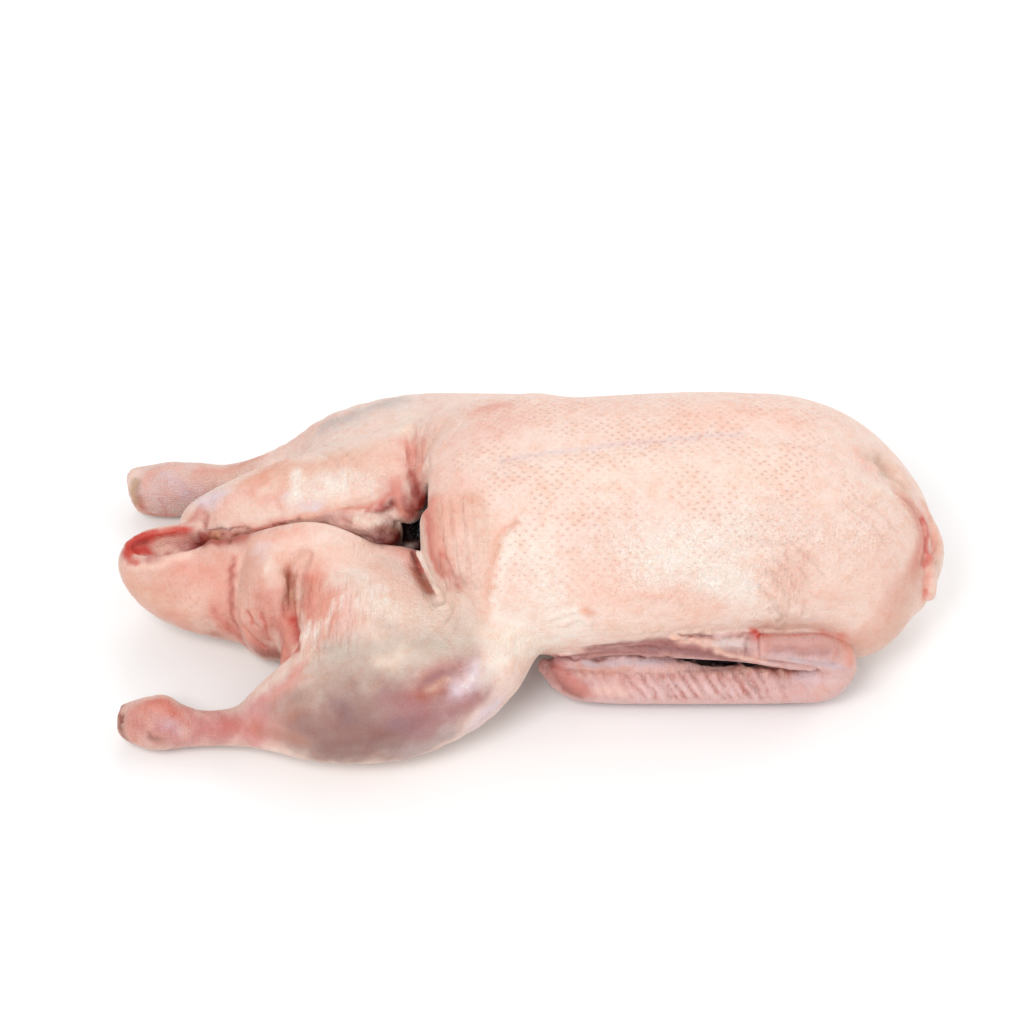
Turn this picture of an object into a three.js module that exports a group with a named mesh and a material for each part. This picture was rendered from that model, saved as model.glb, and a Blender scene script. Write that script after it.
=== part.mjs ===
import * as THREE from "three";

// A whole raw duck on its back, breast up, in millimetres: +X is the neck end, -Y the near side, +Z up.

// Cross sections of the trunk: x, half width, height of the widest line, top, bottom, sideways shift
const TRUNK = [
  [-45.5, 44.5, 49, 87.5, 2, -2.5],
  [-31, 52, 51, 95.5, 0, -2],
  [-7.5, 56, 53.5, 101, -2, 0],
  [34.5, 57.5, 54.5, 103.5, -2, 2],
  [92, 53.5, 54.5, 105.5, -2, 5.5],
  [116.5, 53, 53, 101, -1, 6.5],
  [137.5, 49, 48, 92, 2, 6.5],
  [152, 43, 43, 81, 7.5, 5.5],
  [164, 33, 39, 68, 15.5, 4.5],
  [172, 22, 37.5, 55.5, 22, 4.5],
  [177.5, 7.5, 36.5, 43, 31, 4.5],
];
const BREAST_POWER = 2.25;
const BACK_POWER = 1.7;
const TRUNK_END_ROUND = 11;

// The rear rim of the breast bows forward on both sides of a flat middle
const RIM_MIDDLE = -2;
const RIM_FLAT = 11;
const RIM_BOW = 0.013;

// Limbs and rolls of skin, each a string of balls: x, y, z, radius
const NEAR_LEG = [
  [-22, -54.5, 34.5, 22],
  [-34.5, -62, 30, 24.5],
  [-58, -68, 26.5, 27.5],
  [-83.5, -71, 24.5, 24.5],
  [-102, -72, 19, 16.5],
  [-119, -73, 12.5, 9],
  [-136.5, -73, 10.5, 7.5],
  [-148.5, -72, 11, 9.5],
  [-156.5, -71, 11.5, 11.5],
  [-164, -70, 11, 9.5],
];
const FAR_LEG = [
  [3.5, 58, 41, 25.5],
  [-22, 65.5, 33, 26],
  [-51, 71, 27.5, 25.5],
  [-78.5, 71, 24.5, 21],
  [-98.5, 68, 19, 15],
  [-117.5, 65.5, 15.5, 10.5],
  [-134.5, 64.5, 12.5, 9],
  [-147.5, 63, 12.5, 11],
  [-159, 62, 12, 12],
  [-167.5, 61, 12, 10.5],
];
const TAIL = [
  [-166.5, 2, 33, 10],
  [-159, 1, 30, 17.5],
  [-146.5, -1, 26.5, 24],
  [-127.5, -2, 24.5, 28],
  [-104.5, -2.5, 25.5, 32],
  [-82, -2, 27.5, 34.5],
];
const TAIL_FLATNESS = 0.85;
const FAR_FLAP = [
  [-144.5, 23, 32, 7.5],
  [-138.5, 23, 32, 12.5],
  [-127.5, 23, 33, 17.5],
  [-111, 25.5, 33, 23],
  [-97.5, 27.5, 33.5, 25.5],
  [-80, 29, 35.5, 27.5],
  [-63.5, 32, 39, 28.5],
  [-47.5, 33.5, 42, 29],
  [-32, 34.5, 43.5, 27.5],
];
const FAR_FLANK = [
  [-42, 40, 58, 15],
  [-25, 42, 66, 16],
  [0, 38, 74.5, 13],
];
const NECK_SKIN = [
  [164.5, -23.5, 36.5, 4.5],
  [169.5, -12.5, 42, 6.5],
  [170, -2.5, 48, 7.5],
  [165.5, 7.5, 55.5, 5.5],
  [159, 13.5, 63.5, 3.5],
];

// Folded wing on the near side, mirrored for the far side
const FOREARM = [
  [7.5, -45.5, 18, 3.5],
  [18, -48, 12.5, 7.5],
  [33, -49, 11, 8.5],
  [73, -49.5, 11, 8.5],
  [113, -49, 11, 8.5],
  [125.5, -49, 13.5, 9],
  [131, -50, 23, 8],
  [130, -52, 31, 7.5],
];
const HAND = [
  [130, -52, 31, 7.5],
  [122, -52.5, 37, 7],
  [108, -53, 39.5, 5.8],
  [95, -53, 41, 5],
];
const HAND_END = 96.5;
const WING_WEB = [
  [11, -43, 25.5, 2.5],
  [22, -45, 28.5, 4],
  [39, -46.5, 35, 5],
  [60, -47.5, 36.5, 6.5],
  [75, -48, 35, 6],
  [92, -49.5, 31, 3.5],
  [106, -50.5, 28, 3],
  [120, -51, 26.5, 3],
];
const WING_FILM = [
  [14, -43.5, 20.5, 3.5],
  [30, -44.5, 22, 4.5],
  [50, -45, 22, 4.5],
  [64, -44, 20.5, 3.5],
];
const TENDON = [
  [70, -44, 36, 4],
  [84, -45.5, 37.5, 4.5],
  [100, -47, 36, 4.5],
];
const WING_ROOT = [
  [18, -33, 11, 7.5],
  [54.5, -34.5, 12.5, 8],
  [100, -34.5, 14.5, 8],
  [124, -38, 18, 9],
];

// Rounded masses: centre, radii, turn about Z and rise towards +X in degrees
const NEAR_THIGH = { centre: [-58, -33, 28], radii: [50, 38, 28], yaw: -8 };
const FAR_THIGH = { centre: [-54.5, 38, 31], radii: [53, 38, 31], yaw: 8 };
const HOCK_KNOB = { centre: [-154, -69, 17.5], radii: [6.5, 6.5, 6.5] };
const SHOULDER = { centre: [136.5, -23.5, 31], radii: [23.5, 22, 22] };
const BELLY_FOLD = { centre: [-108.5, -15.5, 25.5], radii: [20, 24.5, 28] };
const BELLY = { centre: [-94.5, -2, 33], radii: [36.5, 18, 25.5], pitch: 8 };

// The lobe of skin that hangs over the opening, and the lip below it
const HANGING_LOBE = [
  [-46, 17.5, 62.5, 6.5],
  [-49.5, 14, 58.5, 7.5],
  [-51, 11.5, 55, 6.5],
];
const NEAR_LIP = [
  [-61, -8.5, 46.5, 4.5],
  [-54, -10.5, 48.5, 4.5],
  [-49, -13.5, 50, 4.5],
];

// Fat at the edge of the opening, and small lumps of it near the tail
const FAT_STRING = [
  [-80, 6.5, 52, 3.5],
  [-72, 5.5, 52, 5.5],
  [-63.5, 3.5, 51, 5],
  [-58, 5.5, 48, 4.5],
];
const FAT_LUMPS = [
  [-135.5, 7.5, 41, 3.5],
  [-128.5, 7, 42.5, 4],
  [-121, 7.5, 43.5, 3],
];

// The emptied body cavity, open between the legs, with the dents in the tail and the neck end
const CAVITY = [
  [-60, 3.5, 52, 3.5],
  [-53, 4.5, 50, 10],
  [-42, 3.5, 52, 17.5],
  [-18, 2.5, 53.5, 23],
  [18, 2.5, 54.5, 24.5],
  [40, 3.5, 54.5, 18],
];
const TAIL_POCKET = { centre: [-155.5, 2, 49], radii: [19, 8, 13.5], pitch: 6 };
const NECK_HOLLOW = { centre: [160, 12.5, 82], radii: [12.5, 11, 8] };

// The slit between the belly flaps: x, middle, half width, floor
const SLIT = [
  [-154.5, 3.5, 0.5, 40],
  [-127.5, 3.5, 1.5, 36.5],
  [-107.5, 4, 2, 36.5],
  [-91, 4.5, 2.5, 38],
  [-73, 2.5, 6, 38],
  [-54.5, -0.5, 8.5, 34.5],
  [-42, -2, 12.5, 36.5],
];

// Creases in the skin: half width, depth and the line that they follow
const BELLY_CREASE = {
  width: 3.6,
  depth: 4.5,
  line: [
    [-94.5, -12.5, 51],
    [-98.5, -20, 48],
    [-99, -30, 43.5],
    [-97.5, -38, 40],
    [-96.5, -45.5, 39],
    [-98.5, -52, 36.5],
    [-102, -57.5, 31],
    [-103.5, -59, 20],
  ],
};
const TAIL_CREASE = {
  width: 2.7,
  depth: 1.8,
  line: [
    [-121, -7.5, 50],
    [-124.5, -16.5, 45.5],
    [-125.5, -27.5, 36.5],
    [-124.5, -32, 23.5],
    [-119, -36.5, 12.5],
  ],
};
const KEEL_VALLEY = {
  width: 5.5,
  depth: 1.1,
  line: [
    [-12, -1, 100],
    [23, 2, 103],
    [56.5, 5.5, 104.5],
    [89, 9, 104.5],
    [109, 10, 102],
  ],
};
const RIM_CREASE = {
  width: 2.7,
  depth: 4.5,
  line: [
    [-47, -14, 55],
    [-45, -20.5, 54.5],
    [-43, -27.5, 55.5],
    [-41, -34, 55.5],
    [-38, -39, 56.5],
  ],
};
const THIGH_CREASE = {
  width: 2.3,
  depth: 1.4,
  line: [
    [-24.5, -52, 72],
    [-28, -54.5, 64.5],
    [-40, -60, 56.5],
    [-50, -65.5, 54.5],
  ],
};
const NECK_CREASE = {
  width: 1.8,
  depth: 2.3,
  line: [
    [171, 2, 58],
    [173, -3.5, 55.5],
    [173, -9, 53],
    [171, -15.5, 51],
  ],
};
const COLLAR_CREASE = {
  width: 3.6,
  depth: 1.4,
  line: [
    [130, 5.5, 95.5],
    [143, 4.5, 88.5],
    [156.5, 4.5, 75.5],
    [164, -1, 68],
    [168.5, -5.5, 61],
  ],
};
const FLAP_CREASE = {
  width: 2.3,
  depth: 2.3,
  line: [
    [-139, 24.5, 47.5],
    [-137.5, 13.5, 45.5],
    [-135.5, 3.5, 42],
  ],
};
const FLANK_CREASE = {
  width: 2.6,
  depth: 4,
  line: [
    [-51, 44, 68],
    [-50.2, 38, 70],
    [-49.5, 31, 68],
    [-48.7, 22, 67],
    [-47.8, 14.5, 66.5],
  ],
};
const CREASES = [
  BELLY_CREASE,
  TAIL_CREASE,
  KEEL_VALLEY,
  RIM_CREASE,
  THIGH_CREASE,
  NECK_CREASE,
  COLLAR_CREASE,
  FLAP_CREASE,
  FLANK_CREASE,
];

// How softly one mass runs into the next
const SOFT_DRUMSTICK = 14.5;
const SOFT_KNOB = 2.7;
const SOFT_SHOULDER = 12.7;
const SOFT_NECK = 4.5;
const SOFT_BELLY_FOLD = 1.8;
const SOFT_BELLY = 4.5;
const SOFT_NEAR_LEG = 2.7;
const SOFT_FAR_LEG = 5.5;
const SOFT_FLAP = 2.7;
const SOFT_RIM = 3.6;
const SOFT_FLANK = 15.5;
const SOFT_FAR_FLANK = 14;
const SOFT_WING = 1.8;
const SOFT_WEB = 1.2;
const SOFT_WING_ROOT = 5.5;
const SOFT_OPENING = 2.7;
const SOFT_LOBE = 4.5;
const SOFT_LIP = 5.5;
const SOFT_FAT = 1.4;
const SOFT_POCKET = 1.8;
const SOFT_HOLLOW = 4.5;

// The join of trunk and legs softens over this range of distance from the middle
const FLANK_MIDDLE = 2;
const FLANK_START = 40;
const FLANK_WIDTH = 22;

// Sampling grid, closer where the folds are: start and spacing of each stretch
const GRID_X = [
  [-182, 5.35],
  [-36, 8.4],
  [138, 6.2],
  [184, 6.2],
];
const GRID_Y = [
  [-101, 6.3],
  [-60, 5.5],
  [16, 6.65],
  [102, 6.65],
];
const GRID_Z = [
  [-2, 4],
  [6, 5.65],
  [62, 7.1],
  [112, 7.1],
];
const SPLINE_STEPS = 3;
const SETTLE_ROUNDS = 5;
const CELL_MARGIN = 0.06;
const SLOPE_STEP = 0.05;
const SEAT = 0.3;

const SKIN = { color: 0xf0cdb9, roughness: 0.48, metalness: 0 };

const clamp = THREE.MathUtils.clamp;

// Signed distances are negative inside; blend joins two, and carve cuts the second out of the first
function blend(a, b, softness) {
  const h = clamp(0.5 + (0.5 * (b - a)) / softness, 0, 1);
  return b + (a - b) * h - softness * h * (1 - h);
}

function carve(a, b, softness) {
  return -blend(-a, b, softness);
}

// A smooth run through the rows of a ball string
function stringOf(rows) {
  const centres = new THREE.CatmullRomCurve3(
    rows.map(([x, y, z]) => new THREE.Vector3(x, y, z)),
    false,
    "catmullrom",
  );
  const sizes = new THREE.CatmullRomCurve3(
    rows.map((row) => new THREE.Vector3(row[3] ?? 0, 0, 0)),
    false,
    "catmullrom",
  );
  const count = (rows.length - 1) * SPLINE_STEPS;
  return Array.from({ length: count + 1 }, (_, i) => {
    const { x, y, z } = centres.getPoint(i / count);
    return [x, y, z, sizes.getPoint(i / count).x];
  });
}

// Distance to a string of tapering balls; flatness is its height over its width
function limb(rows, flatness = 1) {
  const balls = stringOf(rows).map(([x, y, z, r]) => [x, y, z / flatness, r]);
  return (x, y, zTrue) => {
    const z = zTrue / flatness;
    let nearest = Infinity;
    for (let i = 1; i < balls.length; i++) {
      const [ax, ay, az, ar] = balls[i - 1];
      const [bx, by, bz, br] = balls[i];
      const [dx, dy, dz] = [bx - ax, by - ay, bz - az];
      const along = (x - ax) * dx + (y - ay) * dy + (z - az) * dz;
      const t = clamp(along / (dx * dx + dy * dy + dz * dz), 0, 1);
      const [px, py, pz] = [x - ax - t * dx, y - ay - t * dy, z - az - t * dz];
      const gap = Math.sqrt(px * px + py * py + pz * pz) - (ar + t * (br - ar));
      nearest = Math.min(nearest, gap);
    }
    return nearest * Math.min(1, flatness);
  };
}

// Distance to a turned ellipsoid
function mass({ centre, radii, yaw = 0, pitch = 0 }) {
  const [cx, cy, cz] = centre;
  const [rx, ry, rz] = radii;
  const [cosYaw, sinYaw] = [Math.cos(THREE.MathUtils.degToRad(yaw)), Math.sin(THREE.MathUtils.degToRad(yaw))];
  const [cosPitch, sinPitch] = [
    Math.cos(THREE.MathUtils.degToRad(pitch)),
    Math.sin(THREE.MathUtils.degToRad(pitch)),
  ];
  return (x, y, z) => {
    const ahead = cosYaw * (x - cx) + sinYaw * (y - cy);
    const across = cosYaw * (y - cy) - sinYaw * (x - cx);
    const forward = cosPitch * ahead + sinPitch * (z - cz);
    const up = cosPitch * (z - cz) - sinPitch * ahead;
    const reach = Math.hypot(forward / rx, across / ry, up / rz);
    const slope = Math.hypot(forward / rx ** 2, across / ry ** 2, up / rz ** 2);
    return (reach * (reach - 1)) / Math.max(slope, Number.EPSILON);
  };
}

// A column of a table at x, by cubic Hermite pieces
function column(table, index) {
  const xs = table.map((row) => row[0]);
  const ys = table.map((row) => row[index]);
  const slopes = ys.map((_, i) => {
    if (i === 0) return (ys[1] - ys[0]) / (xs[1] - xs[0]);
    if (i === ys.length - 1) return (ys[i] - ys[i - 1]) / (xs[i] - xs[i - 1]);
    const [before, after] = [xs[i] - xs[i - 1], xs[i + 1] - xs[i]];
    const [low, high] = [(ys[i] - ys[i - 1]) / before, (ys[i + 1] - ys[i]) / after];
    return (low * after + high * before) / (before + after);
  });
  return (x) => {
    let i = 0;
    while (i < xs.length - 2 && x > xs[i + 1]) i++;
    const span = xs[i + 1] - xs[i];
    const t = clamp((x - xs[i]) / span, 0, 1);
    const [t2, t3] = [t * t, t * t * t];
    const ends = (2 * t3 - 3 * t2 + 1) * ys[i] + (3 * t2 - 2 * t3) * ys[i + 1];
    return ends + span * ((t3 - 2 * t2 + t) * slopes[i] + (t3 - t2) * slopes[i + 1]);
  };
}

const rearEnd = TRUNK[0][0];
const neckEnd = TRUNK[TRUNK.length - 1][0];
const [trunkWidth, trunkWaist, trunkTop, trunkBottom, trunkShift] = [1, 2, 3, 4, 5].map((i) =>
  column(TRUNK, i),
);

// The trunk, with fuller sections above its widest line than below it
function trunk(x, y, z) {
  const at = clamp(x, rearEnd, neckEnd);
  const [width, waist] = [trunkWidth(at), trunkWaist(at)];
  const above = z > waist;
  const height = above ? trunkTop(at) - waist : waist - trunkBottom(at);
  const power = above ? BREAST_POWER : BACK_POWER;
  const across = Math.abs(y - trunkShift(at)) / width;
  const upright = Math.abs(z - waist) / height;
  const section = ((across ** power + upright ** power) ** (1 / power) - 1) * Math.min(width, height);
  const bow = Math.max(Math.abs(y - RIM_MIDDLE) - RIM_FLAT, 0);
  const rim = rearEnd + RIM_BOW * bow * bow;
  return carve(section, Math.min(x - rim, neckEnd - x), TRUNK_END_ROUND);
}

const slitStart = SLIT[0][0];
const slitEnd = SLIT[SLIT.length - 1][0];
const [slitMiddle, slitWidth, slitFloor] = [1, 2, 3].map((i) => column(SLIT, i));

// The cut between the belly flaps, open upwards
function slit(x, y, z) {
  const at = clamp(x, slitStart, slitEnd);
  const side = Math.abs(y - slitMiddle(at)) - slitWidth(at);
  return Math.max(side, slitFloor(at) - z, slitStart - x, x - slitEnd);
}

const forearm = limb(FOREARM);
const hand = limb(HAND);
const wingWeb = limb(WING_WEB);
const wingFilm = limb(WING_FILM);
const tendon = limb(TENDON);
const wingRoot = limb(WING_ROOT);

function wing(x, y, z) {
  const cutHand = carve(hand(x, y, z), x - HAND_END, SOFT_WEB);
  const bones = blend(forearm(x, y, z), cutHand, SOFT_WING);
  const web = blend(wingWeb(x, y, z), tendon(x, y, z), SOFT_WEB);
  const webbed = blend(blend(bones, web, SOFT_WEB), wingFilm(x, y, z), SOFT_WEB);
  return blend(webbed, wingRoot(x, y, z), SOFT_WING_ROOT);
}

const nearLeg = limb(NEAR_LEG);
const farLeg = limb(FAR_LEG);
const nearThigh = mass(NEAR_THIGH);
const farThigh = mass(FAR_THIGH);
const hockKnob = mass(HOCK_KNOB);
const tail = limb(TAIL, TAIL_FLATNESS);
const bellyFold = mass(BELLY_FOLD);
const belly = mass(BELLY);
const farFlap = limb(FAR_FLAP);

// Legs, tail and belly flaps
function hindquarters(x, y, z) {
  const nearSide = blend(nearThigh(x, y, z), nearLeg(x, y, z), SOFT_DRUMSTICK);
  const farSide = blend(farThigh(x, y, z), farLeg(x, y, z), SOFT_DRUMSTICK);
  let f = blend(tail(x, y, z), bellyFold(x, y, z), SOFT_BELLY_FOLD);
  f = blend(f, belly(x, y, z), SOFT_BELLY);
  f = blend(f, blend(nearSide, hockKnob(x, y, z), SOFT_KNOB), SOFT_NEAR_LEG);
  f = blend(f, farSide, SOFT_FAR_LEG);
  return blend(f, farFlap(x, y, z), SOFT_FLAP);
}

const shoulder = mass(SHOULDER);
const farFlank = limb(FAR_FLANK);
const neckSkin = limb(NECK_SKIN);
const hangingLobe = limb(HANGING_LOBE);
const nearLip = limb(NEAR_LIP);
const fatString = limb(FAT_STRING);
const fatLumps = FAT_LUMPS.map(([x, y, z, r]) => mass({ centre: [x, y, z], radii: [r, r, r] }));
const cavity = limb(CAVITY);
const tailPocket = mass(TAIL_POCKET);
const neckHollow = mass(NECK_HOLLOW);
const creases = CREASES.map(({ width, depth, line }) => ({ width, depth, distance: limb(line) }));

// The whole bird
function duck(x, y, z) {
  let f = blend(trunk(x, y, z), shoulder(x, y, z), SOFT_SHOULDER);
  f = blend(f, neckSkin(x, y, z), SOFT_NECK);
  f = blend(f, farFlank(x, y, z), SOFT_FAR_FLANK);
  const outward = (Math.abs(y - FLANK_MIDDLE) - FLANK_START) / FLANK_WIDTH;
  const flank = THREE.MathUtils.smoothstep(outward, 0, 1);
  f = blend(f, hindquarters(x, y, z), THREE.MathUtils.lerp(SOFT_RIM, SOFT_FLANK, flank));
  f = blend(f, Math.min(wing(x, y, z), wing(x, -y, z)), SOFT_WING);
  for (const { width, depth, distance } of creases)
    f += depth * Math.exp(-((Math.max(distance(x, y, z), 0) / width) ** 2));
  f = carve(f, slit(x, y, z), SOFT_OPENING);
  f = carve(f, cavity(x, y, z), SOFT_OPENING);
  f = blend(f, nearLip(x, y, z), SOFT_LIP);
  f = blend(f, hangingLobe(x, y, z), SOFT_LOBE);
  f = blend(f, fatString(x, y, z), SOFT_FAT);
  for (const lump of fatLumps) f = blend(f, lump(x, y, z), SOFT_FAT);
  f = carve(f, tailPocket(x, y, z), SOFT_POCKET);
  f = carve(f, neckHollow(x, y, z), SOFT_HOLLOW);
  return Math.max(f, -z);
}

// Plane positions of one axis of the grid
function planes(stretches) {
  const out = [];
  for (let s = 1; s < stretches.length; s++) {
    const [start, step] = stretches[s - 1];
    const length = stretches[s][0] - start;
    const count = Math.max(1, Math.round(length / step));
    for (let i = 0; i < count; i++) out.push(start + (i * length) / count);
  }
  out.push(stretches[stretches.length - 1][0]);
  return out;
}

const UNITS = [
  [1, 0, 0],
  [0, 1, 0],
  [0, 0, 1],
];
const CORNERS = [0, 1, 2, 3, 4, 5, 6, 7].map((n) => [n & 1, (n >> 1) & 1, (n >> 2) & 1]);

// The closed surface of a solid, with one vertex in each grid cell that the surface crosses
function surfaceOf(solid) {
  const grid = [GRID_X, GRID_Y, GRID_Z].map(planes);
  const size = grid.map((axis) => axis.length);
  const at = (i, j, k) => (i * size[1] + j) * size[2] + k;
  const value = new Float64Array(size[0] * size[1] * size[2]);
  grid[0].forEach((x, i) =>
    grid[1].forEach((y, j) => grid[2].forEach((z, k) => (value[at(i, j, k)] = solid(x, y, z)))),
  );
  const cells = [];
  for (let i = 0; i < size[0] - 1; i++)
    for (let j = 0; j < size[1] - 1; j++)
      for (let k = 0; k < size[2] - 1; k++) cells.push([i, j, k]);
  separate(value, cells, at);

  const points = [];
  const vertexOf = new Map();
  for (const [i, j, k] of cells) {
    const vertex = vertexIn([i, j, k], value, at, grid);
    if (!vertex) continue;
    vertexOf.set(at(i, j, k), points.length);
    points.push(settle(vertex, [i, j, k], grid, solid));
  }
  const triangles = [];
  for (const [i, j, k] of cells)
    UNITS.forEach(([di, dj, dk], axis) => {
      const here = value[at(i, j, k)] < 0;
      if (here === value[at(i + di, j + dj, k + dk)] < 0) return;
      const [b, c] = [UNITS[(axis + 1) % 3], UNITS[(axis + 2) % 3]];
      const around = [
        [1, 1],
        [0, 1],
        [0, 0],
        [1, 0],
      ].map(([m, n]) => vertexOf.get(at(i - m * b[0] - n * c[0], j - m * b[1] - n * c[1], k - m * b[2] - n * c[2])));
      triangles.push(...split(here ? around : around.reverse(), points, solid));
    });
  return { points, triangles };
}

// Fills corners until no cell holds two separate pieces of the surface
function separate(value, cells, at) {
  const filled = -SLOPE_STEP;
  let changed = true;
  while (changed) {
    changed = false;
    for (const [i, j, k] of cells) {
      const ids = CORNERS.map(([a, b, c]) => at(i + a, j + b, k + c));
      for (const pair of mixedPairs(ids.map((id) => value[id] < 0))) {
        const open = pair.map((n) => ids[n]).filter((id) => value[id] >= 0);
        value[open.reduce((p, q) => (value[p] <= value[q] ? p : q))] = filled;
        changed = true;
      }
    }
  }
}

// Corners that are outside on a chequered face, or beside two lone opposite corners
function mixedPairs(inside) {
  const found = [];
  for (const a of [1, 2, 4])
    for (const b of [1, 2, 4].filter((n) => n > a))
      for (const base of [0, 7 - a - b]) {
        const [p, q, r, s] = [base, base | a, base | b, base | a | b];
        if (inside[p] === inside[s] && inside[q] === inside[r] && inside[p] !== inside[q])
          found.push(inside[p] ? [q, r] : [p, s]);
      }
  const count = inside.filter(Boolean).length;
  for (const corner of [0, 1, 2, 3]) {
    const opposite = 7 - corner;
    const alike = inside[corner] === inside[opposite];
    if (!found.length && alike && count === (inside[corner] ? 2 : 6))
      found.push(inside[corner] ? [0, 1, 2, 3, 4, 5, 6, 7] : [corner, opposite]);
  }
  return found.slice(0, 1);
}

// The middle of the surface's crossings with the edges of one cell
function vertexIn([i, j, k], value, at, grid) {
  const sum = new THREE.Vector3();
  let count = 0;
  for (const [a, b, c] of CORNERS)
    for (const [da, db, dc] of UNITS) {
      if ([a, b, c].some((n, axis) => n && [da, db, dc][axis])) continue;
      const from = [i + a, j + b, k + c];
      const to = [from[0] + da, from[1] + db, from[2] + dc];
      const [low, high] = [value[at(...from)], value[at(...to)]];
      if (low < 0 === high < 0) continue;
      const start = new THREE.Vector3(...from.map((n, axis) => grid[axis][n]));
      const end = new THREE.Vector3(...to.map((n, axis) => grid[axis][n]));
      sum.add(start.lerp(end, low / (low - high)));
      count++;
    }
  return count ? sum.divideScalar(count) : null;
}

// Moves a vertex onto the surface without leaving its cell
function settle(vertex, cell, grid, solid) {
  const low = new THREE.Vector3(...cell.map((n, axis) => grid[axis][n]));
  const high = new THREE.Vector3(...cell.map((n, axis) => grid[axis][n + 1]));
  const margin = high.clone().sub(low).multiplyScalar(CELL_MARGIN);
  low.add(margin);
  high.sub(margin);
  for (let round = 0; round < SETTLE_ROUNDS; round++) {
    const { x, y, z } = vertex;
    const slope = new THREE.Vector3(
      solid(x + SLOPE_STEP, y, z) - solid(x - SLOPE_STEP, y, z),
      solid(x, y + SLOPE_STEP, z) - solid(x, y - SLOPE_STEP, z),
      solid(x, y, z + SLOPE_STEP) - solid(x, y, z - SLOPE_STEP),
    ).divideScalar(2 * SLOPE_STEP);
    vertex.addScaledVector(slope, -solid(x, y, z) / Math.max(slope.lengthSq(), SLOPE_STEP));
    vertex.clamp(low, high);
  }
  if (vertex.z < SEAT) vertex.z = 0;
  return vertex;
}

// Two triangles of a quad, cut along the diagonal that lies closer to the surface
function split([a, b, c, d], points, solid) {
  const offSurface = (p, q) => {
    const { x, y, z } = points[p].clone().lerp(points[q], 0.5);
    return Math.abs(solid(x, y, z));
  };
  return offSurface(a, c) < offSurface(b, d) ? [a, b, c, a, c, d] : [b, c, d, b, d, a];
}

const { points, triangles } = surfaceOf(duck);
const geometry = new THREE.BufferGeometry().setFromPoints(points).setIndex(triangles);
geometry.computeVertexNormals();
geometry.computeBoundingBox();

// The origin lies on the table, under the middle of the bird's box
const middle = geometry.boundingBox.getCenter(new THREE.Vector3());
const bird = new THREE.Mesh(geometry, new THREE.MeshStandardMaterial(SKIN));
bird.name = "duck";
bird.position.set(-middle.x, -middle.y, 0);

const part = new THREE.Group();
part.add(bird);

export default part;
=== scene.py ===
import math

import bpy
import numpy as np
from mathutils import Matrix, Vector
from mathutils.bvhtree import BVHTree


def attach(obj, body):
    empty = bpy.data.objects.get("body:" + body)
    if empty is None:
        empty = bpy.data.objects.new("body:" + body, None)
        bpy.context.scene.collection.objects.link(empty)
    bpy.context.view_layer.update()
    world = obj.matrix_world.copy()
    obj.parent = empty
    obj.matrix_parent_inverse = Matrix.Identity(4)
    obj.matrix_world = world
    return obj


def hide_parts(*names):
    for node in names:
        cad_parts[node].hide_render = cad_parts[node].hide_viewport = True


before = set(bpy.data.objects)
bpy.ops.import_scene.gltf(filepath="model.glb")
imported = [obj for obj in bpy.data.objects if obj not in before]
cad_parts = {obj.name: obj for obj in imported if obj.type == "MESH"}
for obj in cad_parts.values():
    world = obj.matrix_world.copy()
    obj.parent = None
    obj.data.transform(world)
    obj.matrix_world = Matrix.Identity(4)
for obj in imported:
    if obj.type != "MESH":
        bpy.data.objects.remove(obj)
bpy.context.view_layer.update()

# Everything below is in millimetres until a mesh is made: +X is the neck end, -Y the near side, +Z up.
# P holds points, f their signed distances to a shape (below zero inside), V and Q a mesh's points and quads.
MM = 0.001

# The camera looks down from the near side; its distance and target are in metres
LENS = 112
SENSOR = 36
ELEVATION = math.radians(48)
DISTANCE = 1.365
TARGET = Vector((-0.0068, 0.010, 0.0546))
TO_CAMERA = Vector((0, -math.cos(ELEVATION), math.sin(ELEVATION)))
PICTURE_UP = Vector((0, math.sin(ELEVATION), math.cos(ELEVATION)))
PICTURE_SIZE = 1024

# x, half width, height of the widest line, top, bottom, sideways shift
TRUNK = [
    (-45.5, 44.5, 49, 87.5, 2, -2.5),
    (-31, 52, 51, 95.5, 0, -2),
    (-7.5, 56, 53.5, 101, -2, 0),
    (34.5, 57.5, 54.5, 103.5, -2, 2),
    (92, 53.5, 54.5, 105.5, -2, 5.5),
    (116.5, 53, 53, 101, -1, 6.5),
    (137.5, 49, 48, 92, 2, 6.5),
    (152, 43, 43, 81, 7.5, 5.5),
    (164, 33, 39, 68, 15.5, 4.5),
    (172, 22, 37.5, 55.5, 22, 4.5),
    (177.5, 7.5, 36.5, 43, 31, 4.5),
]

# Limbs and rolls of skin, each a string of balls: x, y, z, radius
NEAR_LEG = [
    (-22, -54.5, 34.5, 22), (-34.5, -62, 30, 24.5), (-58, -68, 26.5, 27.5), (-83.5, -71, 24.5, 24.5),
    (-102, -72, 19, 16.5), (-119, -73, 12.5, 9), (-136.5, -73, 10.5, 7.5), (-148.5, -72, 11, 9.5),
    (-156.5, -71, 11.5, 11.5), (-164, -70, 11, 9.5),
]
FAR_LEG = [
    (3.5, 58, 41, 25.5), (-22, 65.5, 33, 26), (-51, 71, 27.5, 25.5), (-78.5, 71, 24.5, 21),
    (-98.5, 68, 19, 15), (-117.5, 65.5, 15.5, 10.5), (-134.5, 64.5, 12.5, 9), (-147.5, 63, 12.5, 11),
    (-159, 62, 12, 12), (-167.5, 61, 12, 10.5),
]
TAIL = [
    (-166.5, 2, 33, 10), (-159, 1, 30, 17.5), (-146.5, -1, 26.5, 24), (-127.5, -2, 24.5, 28),
    (-104.5, -2.5, 25.5, 32), (-82, -2, 27.5, 34.5),
]
TAIL_FLATNESS = 0.85
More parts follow.
